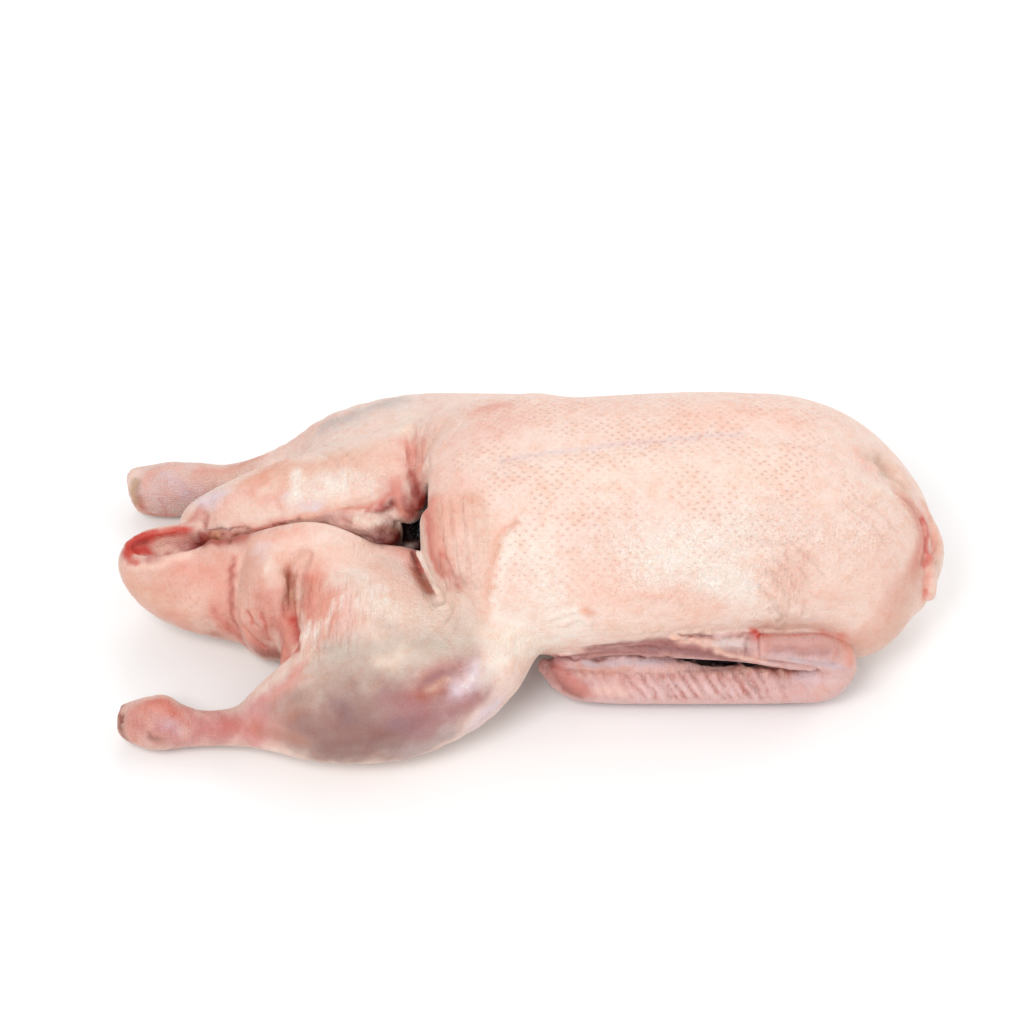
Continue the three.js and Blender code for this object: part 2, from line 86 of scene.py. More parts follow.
FAR_FLAP = [
    (-144.5, 23, 32, 7.5), (-138.5, 23, 32, 12.5), (-127.5, 23, 33, 17.5), (-111, 25.5, 33, 23),
    (-97.5, 27.5, 33.5, 25.5), (-80, 29, 35.5, 27.5), (-63.5, 32, 39, 28.5), (-47.5, 33.5, 42, 29),
    (-32, 34.5, 43.5, 27.5),
]
FAR_FLANK = [(-42, 40, 58, 15), (-25, 42, 66, 16), (0, 38, 74.5, 13)]
NECK_SKIN = [
    (164.5, -23.5, 36.5, 4.5), (169.5, -12.5, 42, 6.5), (170, -2.5, 48, 7.5), (165.5, 7.5, 55.5, 5.5),
    (159, 13.5, 63.5, 3.5),
]
FOREARM = [
    (7.5, -45.5, 18, 3.5), (18, -48, 12.5, 7.5), (33, -49, 11, 8.5), (73, -49.5, 11, 8.5),
    (113, -49, 11, 8.5), (125.5, -49, 13.5, 9), (131, -50, 23, 8), (130, -52, 31, 7.5),
]
HAND = [(130, -52, 31, 7.5), (122, -52.5, 37, 7), (108, -53, 39.5, 5.8), (95, -53, 41, 5)]
HAND_END = 96.5
WING_WEB = [
    (11, -43, 25.5, 2.5), (22, -45, 28.5, 4), (39, -46.5, 35, 5), (60, -47.5, 36.5, 6.5), (75, -48, 35, 6),
    (92, -49.5, 31, 3.5), (106, -50.5, 28, 3), (120, -51, 26.5, 3),
]
WING_FILM = [
    (14, -43.5, 20.5, 3.5), (30, -44.5, 22, 4.5), (50, -45.5, 21, 4.8), (62, -46, 19.5, 4),
    (72, -46, 18, 2.4), (80, -46.5, 17, 1),
]
TENDON = [(70, -44, 36, 4), (84, -45.5, 37.5, 4.5), (100, -47, 36, 4.5)]
WING_ROOT = [(18, -33, 11, 7.5), (54.5, -34.5, 12.5, 8), (100, -34.5, 14.5, 8), (124, -38, 18, 9)]
HANGING_LOBE = [(-46, 17.5, 62.5, 6.5), (-49.5, 14, 58.5, 7.5), (-51, 11.5, 55, 6.5)]
NEAR_LIP = [(-61, -8.5, 46.5, 4.5), (-54, -10.5, 48.5, 4.5), (-49, -13.5, 50, 4.5)]
FAT_STRING = [(-80, 6.5, 52, 3.5), (-72, 5.5, 52, 5.5), (-63.5, 3.5, 51, 5), (-58, 5.5, 48, 4.5)]
FAT_LUMPS = [(-135.5, 7.5, 41, 3.5), (-128.5, 7, 42.5, 4), (-121, 7.5, 43.5, 3)]
CAVITY = [
    (-60, 3.5, 52, 3.5), (-53, 4.5, 50, 10), (-42, 3.5, 52, 17.5), (-18, 2.5, 53.5, 23),
    (18, 2.5, 54.5, 24.5), (40, 3.5, 54.5, 18),
]

# Small forms at the openings and the cut ends
GUT_PIECES = [
    [(-83, 7, 51.5, 2.5), (-77, 7, 53.5, 4), (-70, 6.5, 54.5, 3.5)],
    [(-73.5, 3.5, 54, 3.5), (-67, 3, 54.5, 5), (-61.5, 4, 53.5, 4.5)],
    [(-66, 1, 50, 4.5), (-61.5, 1.5, 48.5, 6), (-58, 3, 46.5, 4.5)],
    [(-64, 9, 56, 3), (-59, 9, 55, 2.8), (-55.5, 7.5, 55, 2.2)],
]
RED_SLIT = [
    (-47.5, -12.5, 54.5, 2.2), (-46, -16.5, 54.5, 2.6), (-44.5, -22, 54.5, 2.8), (-42.5, -29, 55.5, 2.2),
    (-41, -33.5, 56, 1),
]
SLIT_FLOOR = [(-43.5, -28, 52.5), (-41, -33, 53)]
SLIT_STRAND = [
    (-46.5, -20, 62.5, 1.1), (-43.9, -24.8, 61.5, 1.4), (-41.3, -30.8, 60, 1.5), (-38, -35.5, 55, 1.4),
]
LOBE_ROOT = [(-47, 20, 68, 5), (-46.5, 12, 66.5, 4.5), (-47, 8, 62.5, 3.5)]
NECK_FLAP = [(168.5, -16, 55, 2.2), (170.5, -20.5, 48, 2.8), (170.5, -24, 40, 2.8)]
ARMPIT = [(98, -46, 38.5, 3), (110, -46, 38, 3.5), (122, -45, 35.5, 3.5)]
WING_GAP_EDGE = [
    (44, -53, 30.8, 0.4), (56, -53, 30.5, 1.2), (66, -52.8, 29.8, 1.8), (76, -52.5, 28.5, 1.6),
    (88, -52, 26.5, 0.8),
]
WING_GAP_DEPTHS = [
    [(48, -48.5, 28, 0.6), (60, -49, 28.2, 0.9), (67, -49, 27.4, 1.5), (74, -49, 25.9, 2.1),
     (82, -49, 24.3, 1.8), (93, -49.5, 23.5, 1.1), (101, -50, 22.7, 0.5)],
    [(60, -44, 22, 1), (68, -43, 19.5, 2.6), (76, -42, 17.6, 3.6), (88, -42, 16, 3), (98, -44, 17, 1.2)],
    [(64, -37, 13.5, 2), (76, -36, 11.5, 4), (90, -37, 11.5, 3)],
]
FOOT_END = [(-160, 62, 12, 12), (-172.5, 60.5, 13, 10.8)]
FOOT_NOTCHES = [(-174, -71.5, 15.5, 2.0), (-174.5, -75.5, 11, 1.6), (-173, -66, 17.5, 1.4)]

# The slanting cut through the far leg: its place at a height, and how far it leans for each mm up
BONE_END = -175.2
BONE_HEIGHT = 12
BONE_LEAN = 0.41

# x, middle, half width and floor of the slit between the belly flaps
SLIT = [
    (-154.5, 3.5, 0.5, 40), (-127.5, 3.5, 1.5, 36.5), (-107.5, 4, 2, 36.5), (-91, 4.5, 2.5, 38),
    (-73, 2.5, 6, 38), (-54.5, -0.5, 8.5, 34.5), (-42, -2, 12.5, 36.5),
]

# Rounded masses: centre, radii, yaw and pitch in degrees
NEAR_THIGH = ((-58, -33, 28), (50, 38, 28), -8, 0)
FAR_THIGH = ((-54.5, 38, 31), (53, 38, 31), 8, 0)
HOCK_KNOB = ((-154, -69, 17.5), (6.5, 6.5, 6.5), 0, 0)
SHOULDER = ((136.5, -23.5, 31), (23.5, 22, 22), 0, 0)
BELLY_FOLD = ((-108.5, -15.5, 25.5), (20, 24.5, 28), 0, 0)
BELLY = ((-94.5, -2, 33), (36.5, 18, 25.5), 0, 8)
TAIL_POCKET = ((-155.5, 2, 49), (19, 8, 13.5), 0, 6)
NECK_HOLLOW = ((160, 12.5, 82), (12.5, 11, 8), 0, 0)

# Creases that the solid has too: width, depth, line
CREASES = [
    (3.6, 4.5, [(-94.5, -12.5, 51), (-98.5, -20, 48), (-99, -30, 43.5), (-97.5, -38, 40), (-96.5, -45.5, 39),
                (-98.5, -52, 36.5), (-102, -57.5, 31), (-103.5, -59, 20)]),
    (2.7, 1.8, [(-121, -7.5, 50), (-124.5, -16.5, 45.5), (-125.5, -27.5, 36.5), (-124.5, -32, 23.5),
                (-119, -36.5, 12.5)]),
    (5.5, 1.1, [(-12, -1, 100), (23, 2, 103), (56.5, 5.5, 104.5), (89, 9, 104.5), (109, 10, 102)]),
    (2.7, 4.5, [(-47, -14, 55), (-45, -20.5, 54.5), (-43, -27.5, 55.5), (-41, -34, 55.5), (-38, -39, 56.5)]),
    (2.3, 1.4, [(-24.5, -52, 72), (-28, -54.5, 64.5), (-40, -60, 56.5), (-50, -65.5, 54.5)]),
    (1.8, 2.3, [(171, 2, 58), (173, -3.5, 55.5), (173, -9, 53), (171, -15.5, 51)]),
    (3.6, 1.4, [(130, 5.5, 95.5), (143, 4.5, 88.5), (156.5, 4.5, 75.5), (164, -1, 68), (168.5, -5.5, 61)]),
    (2.3, 2.3, [(-139, 24.5, 47.5), (-137.5, 13.5, 45.5), (-135.5, 3.5, 42)]),
    (2.6, 4, [(-51, 44, 68), (-50.2, 38, 70), (-49.5, 31, 68), (-48.7, 22, 67), (-47.8, 14.5, 66.5)]),
]

# Roundness of the trunk's section above and below its widest line
TOP_POWER = 2.25
BACK_POWER = 1.7

# The curve of the trunk's open rear, flat near its middle, and how rounded its ends are
RIM_MIDDLE = -2
RIM_FLAT = 11
RIM_BEND = 0.013
END_SOFTNESS = 11

# Softness of the join between trunk and legs by the middle and at the sides, and where it changes
LEG_JOIN = (3.6, 15.5)
LEG_JOIN_SIDES = (40, 62)

# The y of the bird's middle line
MIDDLE = 2

# How far out a distance is worked out exactly
REACH = 22.0
MIRROR = np.array([1.0, -1.0, 1.0], np.float32)


def smooth(value, low, high):
    """A soft step from zero at low to one at high."""
    t = np.clip((value - low) / (high - low), 0, 1)
    return t * t * (3 - 2 * t)


def blend(a, b, softness):
    """Joins two signed distances, which are negative inside, with a fillet of this softness in mm."""
    h = np.clip(0.5 + 0.5 * (b - a) / softness, 0.0, 1.0)
    return b + (a - b) * h - softness * h * (1.0 - h)


def carve(a, b, softness):
    """Takes the second shape out of the first."""
    return -blend(-a, b, softness)


def both_sides(shape, P):
    """The shape on the near side and its mirror image on the far side."""
    return np.minimum(shape(P), shape(P * MIRROR))


def any_of(P, lines):
    """Distance to the nearest of several limbs."""
    return np.minimum.reduce([limb(P, line) for line in lines])


def spline(rows, steps=3):
    """A smooth run through the rows."""
    r = np.array(rows, float)
    ends = np.vstack([2 * r[0] - r[1], r, 2 * r[-1] - r[-2]])
    out = []
    for i in range(len(r) - 1):
        p0, p1, p2, p3 = ends[i : i + 4]
        for s in range(steps):
            t = s / steps
            bend = (2 * p0 - 5 * p1 + 4 * p2 - p3) * t * t + (3 * p1 - p0 - 3 * p2 + p3) * t**3
            out.append(0.5 * (2 * p1 + (p2 - p0) * t + bend))
    out.append(r[-1])
    return np.array(out)


def within(P, low, high, shape, reach=REACH):
    """shape(P) near the box, and a rough larger distance elsewhere."""
    gap = np.maximum(np.maximum(low - P, P - high), 0).max(1)
    out = (gap + reach).astype(np.float32)
    near = gap < reach
    if near.any():
        out[near] = shape(P[near])
    return out


def limb(P, rows, flatness=1.0, reach=REACH):
    """Distance to a string of tapering balls; flatness is its height over its width."""
    rows = [r if len(r) == 4 else (*r, 0) for r in rows]
    balls = (spline(rows) if len(rows) > 1 else np.array(rows * 2, float)).astype(np.float32)
    if flatness != 1.0:
        balls[:, 2] /= flatness
        P = P * np.array([1.0, 1.0, 1.0 / flatness], np.float32)

    def exact(Q):
        nearest = np.full(len(Q), 1e9, np.float32)
        for a, b in zip(balls[:-1], balls[1:]):
            ab = b[:3] - a[:3]
            rel = Q - a[:3]
            t = np.clip(rel @ ab / max(float(ab @ ab), 1e-6), 0, 1)
            gap = np.sqrt(((rel - t[:, None] * ab) ** 2).sum(1)) - (a[3] + t * (b[3] - a[3]))
            nearest = np.minimum(nearest, gap)
        return nearest

    low, high = (balls[:, :3] - balls[:, 3:]).min(0), (balls[:, :3] + balls[:, 3:]).max(0)
    return within(P, low, high, exact, reach) * min(1.0, flatness)


def mass(P, shape):
    """Distance to a turned ellipsoid."""
    centre, radii, yaw, pitch = shape
    middle = np.array(centre, np.float32)
    cy, sy = math.cos(math.radians(yaw)), math.sin(math.radians(yaw))
    cp, sp = math.cos(math.radians(pitch)), math.sin(math.radians(pitch))

    def exact(Q):
        q = Q - middle
        ahead = cy * q[:, 0] + sy * q[:, 1]
        across = cy * q[:, 1] - sy * q[:, 0]
        q = np.stack([cp * ahead + sp * q[:, 2], across, cp * q[:, 2] - sp * ahead], 1)
        r = np.array(radii, np.float32)
        k0 = np.sqrt(((q / r) ** 2).sum(1))
        k1 = np.sqrt(((q / r**2) ** 2).sum(1)) + 1e-9
        return k0 * (k0 - 1.0) / k1

    return within(P, middle - max(radii), middle + max(radii), exact)


def column(x, rows, index):
    """A column of a table at x, by cubic Hermite pieces."""
    r = np.array(rows, float)
    xs, ys = r[:, 0], r[:, index]
    m = np.gradient(ys, xs)
    i = np.clip(np.searchsorted(xs, x) - 1, 0, len(xs) - 2)
    h = xs[i + 1] - xs[i]
    t = np.clip((x - xs[i]) / h, 0, 1)
    t2, t3 = t * t, t**3
    ends = (2 * t3 - 3 * t2 + 1) * ys[i] + (3 * t2 - 2 * t3) * ys[i + 1]
    return ends + h * ((t3 - 2 * t2 + t) * m[i] + (t3 - t2) * m[i + 1])


def trunk(P):
    x, y, z = P[:, 0], P[:, 1], P[:, 2]
    rear, neck = TRUNK[0][0], TRUNK[-1][0]
    at = np.clip(x, rear, neck)
    width, waist, top, bottom, shift = [column(at, TRUNK, i) for i in (1, 2, 3, 4, 5)]
    above = z > waist
    height = np.where(above, top - waist, waist - bottom)
    power = np.where(above, TOP_POWER, BACK_POWER)
    across = np.abs(y - shift) / width
    upright = np.abs(z - waist) / height
    section = ((across**power + upright**power + 1e-9) ** (1 / power) - 1) * np.minimum(width, height)
    rim = rear + RIM_BEND * np.maximum(np.abs(y - RIM_MIDDLE) - RIM_FLAT, 0) ** 2
    return carve(section, np.minimum(x - rim, neck - x), END_SOFTNESS)


def slit(P):
    low, high = SLIT[0][0], SLIT[-1][0]
    at = np.clip(P[:, 0], low, high)
    side = np.abs(P[:, 1] - column(at, SLIT, 1)) - column(at, SLIT, 2)
    ends = np.maximum(low - P[:, 0], P[:, 0] - high)
    return np.maximum(np.maximum(side, column(at, SLIT, 3) - P[:, 2]), ends)


def wing(P):
    hand = carve(limb(P, HAND), P[:, 0] - HAND_END, 1.2)
    web = blend(limb(P, WING_WEB), limb(P, TENDON), 1.2)
    f = blend(blend(limb(P, FOREARM), hand, 1.8), web, 1.2)
    return blend(blend(f, limb(P, WING_FILM), 1.2), limb(P, WING_ROOT), 5.5)


def hindquarters(P):
    near = blend(mass(P, NEAR_THIGH), limb(P, NEAR_LEG), 14.5)
    far = blend(mass(P, FAR_THIGH), limb(P, FAR_LEG), 14.5)
    f = blend(limb(P, TAIL, TAIL_FLATNESS), mass(P, BELLY_FOLD), 1.8)
    f = blend(f, mass(P, BELLY), 4.5)
    f = blend(f, blend(near, mass(P, HOCK_KNOB), 2.7), 2.7)
    f = blend(f, far, 5.5)
    return blend(f, limb(P, FAR_FLAP), 2.7)


def body(P):
    """The bird before its creases and openings."""
    f = blend(trunk(P), mass(P, SHOULDER), 12.7)
    f = blend(f, limb(P, NECK_SKIN), 4.5)
    f = blend(f, limb(P, FAR_FLANK), 14)
    inner, outer = LEG_JOIN
    softness = inner + (outer - inner) * smooth(np.abs(P[:, 1] - MIDDLE), *LEG_JOIN_SIDES)
    f = blend(f, hindquarters(P), softness)
    return blend(f, both_sides(wing, P), 1.8)


def creased(P, f):
    """Adds the creases that the solid has too."""
    for width, depth, line in CREASES:
        gap = np.maximum(limb(P, line, reach=3.5 * width), 0)
        f = f + depth * np.exp(-((gap / width) ** 2))
    return f


def opened(P, f):
    """Cuts the slit, the cavity, the pocket of the tail and the gaps of the wings."""
    f = carve(f, slit(P), 2.7)
    f = carve(f, limb(P, CAVITY), 2.7)
    f = blend(f, limb(P, NEAR_LIP), 5.5)
    f = blend(f, limb(P, HANGING_LOBE), 4.5)
    f = blend(f, limb(P, FAT_STRING), 1.4)
    for x, y, z, r in FAT_LUMPS:
        f = blend(f, mass(P, ((x, y, z), (r, r, r), 0, 0)), 1.4)
    f = carve(f, mass(P, TAIL_POCKET), 1.8)
    f = carve(f, mass(P, NECK_HOLLOW), 4.5)
    f = carve(f, limb(P, RED_SLIT), 1.2)
    return carve(f, both_sides(lambda side: any_of(side, [WING_GAP_EDGE, *WING_GAP_DEPTHS]), P), 0.8)


def cut_ends(P, f):
    """The blunt end of the far leg and the notches in the near one."""
    f = blend(f, limb(P, FOOT_END), 2)
    for x, y, z, r in FOOT_NOTCHES:
        f = carve(f, mass(P, ((x, y, z), (3 * r, r, r), 0, 0)), 0.8)
    slant = BONE_END - BONE_LEAN * (P[:, 2] - BONE_HEIGHT) - P[:, 0]
    return np.maximum(f, np.where(P[:, 1] > 0, slant, -REACH))


def duck(P):
    """The whole bird, which lies flat on the table."""
    P = P.astype(np.float32)
    f = opened(P, creased(P, body(P)))
    for piece in (*GUT_PIECES, LOBE_ROOT, SLIT_STRAND, NECK_FLAP):
        f = blend(f, limb(P, piece), 0.8)
    f = blend(f, both_sides(lambda side: limb(side, ARMPIT), P), 3)
    return np.maximum(cut_ends(P, f), -P[:, 2])


CORNERS = [(i, j, k) for i in (0, 1) for j in (0, 1) for k in (0, 1)]


def at_corners(grid):
    """The grid's values at the corners of every cell, corner by corner."""
    shape = np.array(grid.shape) - 1
    return [grid[tuple(slice(o, o + n) for o, n in zip(corner, shape))] for corner in CORNERS]


def crossed(inside):
    """Whether the skin passes through each cell."""
    count = sum(values.astype(np.int8) for values in at_corners(inside))
    return (count > 0) & (count < len(CORNERS))


def sampled(field, low, high, coarse, parts, chunk=400000):
    """The field on the fine grid, worked out only around the skin that the coarse grid finds."""
    def sample(P):
        return np.concatenate([field(part) for part in np.array_split(P, max(1, len(P) // chunk))])

    n = np.ceil((np.array(high) - low) / coarse).astype(int)
    axes = [low[i] + coarse * np.arange(n[i] + 1) for i in range(3)]
    P = np.stack(np.meshgrid(*axes, indexing="ij"), -1).reshape(-1, 3)
    grown = crossed((sample(P) < 0).reshape(n + 1))
    for axis in range(3):
        grown = grown | np.roll(grown, 1, axis) | np.roll(grown, -1, axis)
    cells = np.argwhere(grown)
    known = np.zeros(n * parts + 1, bool)
    for shift in np.ndindex(parts + 1, parts + 1, parts + 1):
        known[tuple((cells * parts + shift).T)] = True
    points = np.argwhere(known)
    fine = np.full(known.shape, np.nan, np.float32)
    fine[tuple(points.T)] = sample(np.array(low) + points * (coarse / parts))
    return fine


def crossings(fine, cells):
    """The middle of the places where the skin crosses each cell's edges."""
    total, count = np.zeros((len(cells), 3)), np.zeros(len(cells))
    for corner in CORNERS:
        for axis in range(3):
            if corner[axis]:
                continue
            end = list(corner)
            end[axis] = 1
            here, there = fine[tuple((cells + corner).T)], fine[tuple((cells + end).T)]
            cross = (here < 0) != (there < 0)
            at = np.repeat(np.array([corner], float), len(cells), 0)
            at[:, axis] += np.where(cross, here / np.where(cross, here - there, 1), 0)
            total[cross] += at[cross]
            count[cross] += 1
    return total / count[:, None]


def quads_round(below, known, number):
    """A quad round each grid edge that the skin crosses, from the numbers of the cells there."""
    quads = []
    for a in range(3):
        b, c = (a + 1) % 3, (a + 2) % 3
        first, last = [slice(None)] * 3, [slice(None)] * 3
        first[a], last[a] = slice(0, -1), slice(1, None)
        first, last = tuple(first), tuple(last)
        edges = np.argwhere((below[first] != below[last]) & known[first] & known[last])
        inner = (edges > 0) & (edges < number.shape)
        edges = edges[inner[:, b] & inner[:, c]]
        quad = []
        for shift_b, shift_c in ((-1, -1), (0, -1), (0, 0), (-1, 0)):
            cell = edges.copy()
            cell[:, b] += shift_b
            cell[:, c] += shift_c
            quad.append(number[tuple(cell.T)])
        quad = np.stack(quad, 1)
        flip = ~below[tuple(edges.T)]
        quad[flip] = quad[flip][:, ::-1]
        quads.append(quad)
    quads = np.vstack(quads)
    return quads[(quads >= 0).all(1)]


def surface(field, low, high, coarse, parts):
    """Vertices and quads of the field's skin, one vertex in each fine cell that it passes through."""
    fine = sampled(field, low, high, coarse, parts)
    known, below = ~np.isnan(fine), fine < 0
    cells = np.argwhere(crossed(below) & np.logical_and.reduce(at_corners(known)))
    number = np.full(tuple(np.array(fine.shape) - 1), -1, np.int32)
    number[tuple(cells.T)] = np.arange(len(cells))
    vertices = np.array(low) + (cells + crossings(fine, cells)) * (coarse / parts)
    return vertices, quads_round(below, known, number)


def normals_of(V, Q):
    n = np.cross(V[Q[:, 2]] - V[Q[:, 0]], V[Q[:, 3]] - V[Q[:, 1]])
    out = np.zeros_like(V)
    for corner in range(4):
        for axis in range(3):
            out[:, axis] += np.bincount(Q[:, corner], n[:, axis], len(V))
    return out / np.maximum(np.linalg.norm(out, axis=1, keepdims=True), 1e-12)


def settled(points, rounds=4, nudge=0.2):
    """The points moved onto the bird's skin."""
    p = np.array(points, float)
    for _ in range(rounds):
        steps = nudge * np.eye(3)
        slope = np.stack([(duck(p + step) - duck(p - step)) / (2 * nudge) for step in steps], 1)
        steepness = np.maximum((slope**2).sum(1), 0.05)
        p = p - (duck(p) / steepness)[:, None] * slope
    return p


def skin_finder(V, Q):
    """A function that puts points of the skin into a table of strokes or folds."""
    tree = BVHTree.FromPolygons(V.tolist(), Q.tolist())
    eye = (TARGET + DISTANCE * TO_CAMERA) / MM

    def point(place):
        """What shows at a place in the picture, or nothing."""
        right = (place[0] / PICTURE_SIZE - 0.5) * SENSOR / LENS
        up = (0.5 - place[1] / PICTURE_SIZE) * SENSOR / LENS
        ahead = Vector((right, 0, 0)) + up * PICTURE_UP - TO_CAMERA
        return tree.ray_cast(eye, ahead)[0]

    def found(table):
        """The rows with points in place of their places; a row that shows nowhere is left out."""
        rows = [(*values, [tuple(p) for p in map(point, places) if p]) for *values, places in table]
        return [row for row in rows if row[-1]]

    return found


# Small folds (below zero, creases) in the skin: height, width, and places in the picture, in its pixels
FOLDS = [
    (-0.9, 1.3, [(448, 500), (451, 530), (455, 560), (462, 585)]),
    (-1.1, 1.3, [(459, 500), (463, 530), (466, 560), (474, 590)]),
    (-0.8, 1.2, [(471, 502), (474, 535), (476, 565), (480, 590)]),
    (-0.7, 1.2, [(482, 505), (485, 530), (486, 560)]),
    (-1.2, 1.2, [(441, 540), (446, 562), (454, 578)]),
    (-0.8, 1.1, [(436, 510), (440, 530), (442, 548)]),
    (0.9, 1.3, [(520, 523), (508, 538), (500, 553), (494, 572), (491, 590)]),
    (-0.9, 1.6, [(512, 522), (500, 538), (492, 555), (486, 575), (484, 598)]),
    (1.1, 1.3, [(446, 577), (450, 590), (447, 600), (440, 608)]),
    (-1.6, 1.6, [(411, 452), (413, 468), (415, 482), (417, 494)]),
    (-0.8, 1.1, [(420, 418), (414, 430), (409, 442)]),
    (-0.7, 1.1, [(432, 414), (424, 428), (418, 444)]),
    (-0.7, 1.1, [(446, 418), (436, 434), (426, 452)]),
    (-0.5, 1.1, [(460, 425), (448, 442), (436, 458)]),
    (-0.8, 1, [(421, 440), (420, 460), (421, 480)]),
    (-0.8, 1, [(430, 440), (428, 455), (430, 470)]),
    (-0.7, 1, [(396, 440), (402, 458), (408, 475)]),
    (-0.7, 1, [(300, 448), (318, 452), (333, 460), (341, 472)]),
    (-0.7, 1, [(322, 444), (343, 452), (356, 466)]),
    (-0.5, 1, [(360, 446), (378, 456), (388, 472)]),
    (-0.5, 1, [(270, 455), (274, 470), (270, 486)]),
    (-0.9, 1, [(204, 506), (207, 518), (206, 528)]),
    (-0.8, 0.9, [(214, 612), (221, 628)]),
    (-0.8, 0.9, [(222, 604), (229, 622), (233, 636)]),
    (-0.7, 0.9, [(206, 618), (213, 630), (216, 638)]),
    (-1.2, 0.9, [(247, 612), (252, 622), (258, 628)]),
    (-1.1, 0.9, [(262, 614), (266, 628), (268, 640)]),
    (-1.1, 0.9, [(244, 628), (252, 638), (263, 646)]),
    (-0.8, 0.9, [(272, 600), (275, 615), (274, 628)]),
    (-0.7, 0.9, [(256, 590), (258, 603), (256, 614)]),
    (-0.8, 0.9, [(278, 632), (284, 645), (288, 654)]),
    (-0.7, 0.9, [(284, 600), (287, 615), (289, 628)]),
    (1.2, 1.6, [(300, 570), (297, 595), (301, 625), (304, 648)]),
    (-1.2, 1.2, [(290, 580), (291, 600), (294, 618)]),
    (-0.7, 0.9, [(318, 600), (320, 620), (316, 640)]),
    (-0.7, 0.9, [(327, 605), (328, 625), (322, 648)]),
    (-0.7, 0.9, [(337, 605), (336, 625), (331, 645)]),
    (-0.5, 0.9, [(348, 600), (347, 622), (340, 642)]),
    (-0.5, 0.9, [(362, 585), (360, 605), (355, 622)]),
    (-0.5, 0.9, [(374, 580), (372, 600), (366, 618)]),
    (-0.5, 0.9, [(392, 590), (388, 606), (380, 620)]),
    (-0.7, 1.2, [(345, 535), (322, 545), (308, 558)]),
    (-0.7, 1.4, [(441, 600), (450, 608), (444, 620), (428, 634), (412, 643)]),
    (-1.1, 1.1, [(775, 560), (790, 575), (800, 595)]),
    (-1.4, 1.1, [(768, 572), (782, 588), (792, 608)]),
    (-1.4, 1, [(760, 588), (774, 602), (784, 622)]),
    (-1.5, 1, [(770, 610), (778, 622), (782, 634)]),
    (-1.1, 1, [(786, 555), (802, 570), (812, 588)]),
    (-1.1, 1, [(800, 550), (815, 563), (826, 578)]),
    (-0.9, 1, [(760, 540), (785, 545), (812, 535)]),
    (-0.9, 1, [(845, 505), (868, 520), (885, 540)]),
    (-0.9, 1, [(856, 498), (880, 512), (898, 532)]),
    (-0.5, 1, [(830, 445), (850, 458), (870, 470)]),
    (-1.1, 1.2, [(895, 492), (912, 508), (922, 524)]),
    (0.8, 1.4, [(880, 490), (900, 500), (914, 515)]),
    (1.1, 1.1, [(560, 654), (600, 650), (640, 651), (670, 653)]),
    (-1.1, 1, [(566, 650), (600, 646), (640, 647), (680, 651)]),
    (-1.1, 1, [(672, 640), (700, 645), (740, 652), (775, 662)]),
    (0.9, 1, [(672, 636), (702, 640), (740, 646)]),
    (-1.2, 1.1, [(792, 660), (815, 664), (836, 666)]),
    (-0.7, 1, [(775, 645), (800, 647), (830, 645)]),
    (-0.7, 1, [(770, 652), (800, 655), (830, 654)]),
    (1.1, 2.2, [(842, 456), (868, 466), (895, 484), (913, 506), (924, 528)]),
    (-1.2, 2, [(868, 458), (888, 470), (904, 486)]),
    (-1.4, 1.3, [(921, 520), (925, 536), (926, 552), (922, 566)]),
    (1.2, 1.5, [(928, 516), (933, 532), (934, 548), (930, 562)]),
    (-1.1, 1.5, [(778, 575), (790, 590), (798, 606)]),
    (-0.9, 1.4, [(792, 570), (803, 584), (812, 600)]),
    (0.9, 1.5, [(772, 566), (784, 580), (793, 596)]),
    (-1.2, 1.4, [(781, 610), (786, 620), (787, 632)]),
    (-0.9, 1.4, [(800, 588), (806, 600), (806, 615)]),
    (1.2, 1.5, [(774, 618), (778, 628)]),
    (0.9, 1.6, [(548, 618), (562, 614), (576, 610)]),
    (1.1, 1.5, [(563, 624), (577, 617), (588, 622)]),
    (0.8, 1.4, [(584, 612), (590, 620), (589, 628)]),
    (-1.5, 1.2, [(742, 672), (750, 682), (760, 692)]),
    (-1.1, 1.1, [(744, 665), (760, 667), (776, 668)]),
    (1.1, 1.2, [(600, 647), (640, 643), (665, 645)]),
    (1.1, 1.3, [(716, 651), (736, 655), (760, 660), (782, 664)]),
    (1.2, 1.5, [(672, 637), (684, 637), (698, 641)]),
    (0.9, 1.5, [(752, 631), (758, 635)]),
    (-1.1, 1.3, [(757, 634), (754, 645), (752, 655)]),
    (-0.8, 1.1, [(227, 530), (229, 541)]),
    (-0.7, 1.1, [(217, 530), (219, 541)]),
    (-0.7, 1, [(371, 518), (378, 526), (386, 531)]),
    (-0.7, 1, [(340, 517), (350, 524)]),
    (-0.5, 1, [(325, 516), (332, 522)]),
    (1.1, 1.6, [(127, 545), (140, 537), (158, 533), (176, 530)]),
    (-0.8, 1.3, [(150, 551), (165, 547), (180, 546)]),
    (0.8, 1.6, [(152, 558), (166, 555), (182, 552)]),
    (-0.7, 1.2, [(130, 555), (138, 561), (150, 562)]),
    (1.1, 1.5, [(136, 564), (160, 561), (182, 555)]),
    (1.1, 1.8, [(335, 514), (360, 509), (383, 500)]),
    (-0.9, 1.4, [(345, 505), (370, 500), (388, 490)]),
    (-0.9, 1.5, [(400, 486), (404, 498), (412, 508)]),
    (-0.7, 1.2, [(405, 480), (410, 492), (414, 505)]),
    (-1.2, 1.6, [(118, 722), (126, 722)]),
    (-0.5, 1.3, [(150, 735), (155, 741), (160, 743)]),
]

# Rings round the shanks: height, where they are along the picture, and how each runs down it
SHANK_RINGS = [
    (-0.5, (143, 150, 157), [(0, 712), (-1, 726), (1, 742)]),
    (-0.5, (184, 192, 199), [(0, 716), (-1, 726), (1, 742)]),
    (-0.4, (142, 160, 165), [(0, 490), (1, 502), (2, 512)]),
]
RING_WIDTH = 1.1

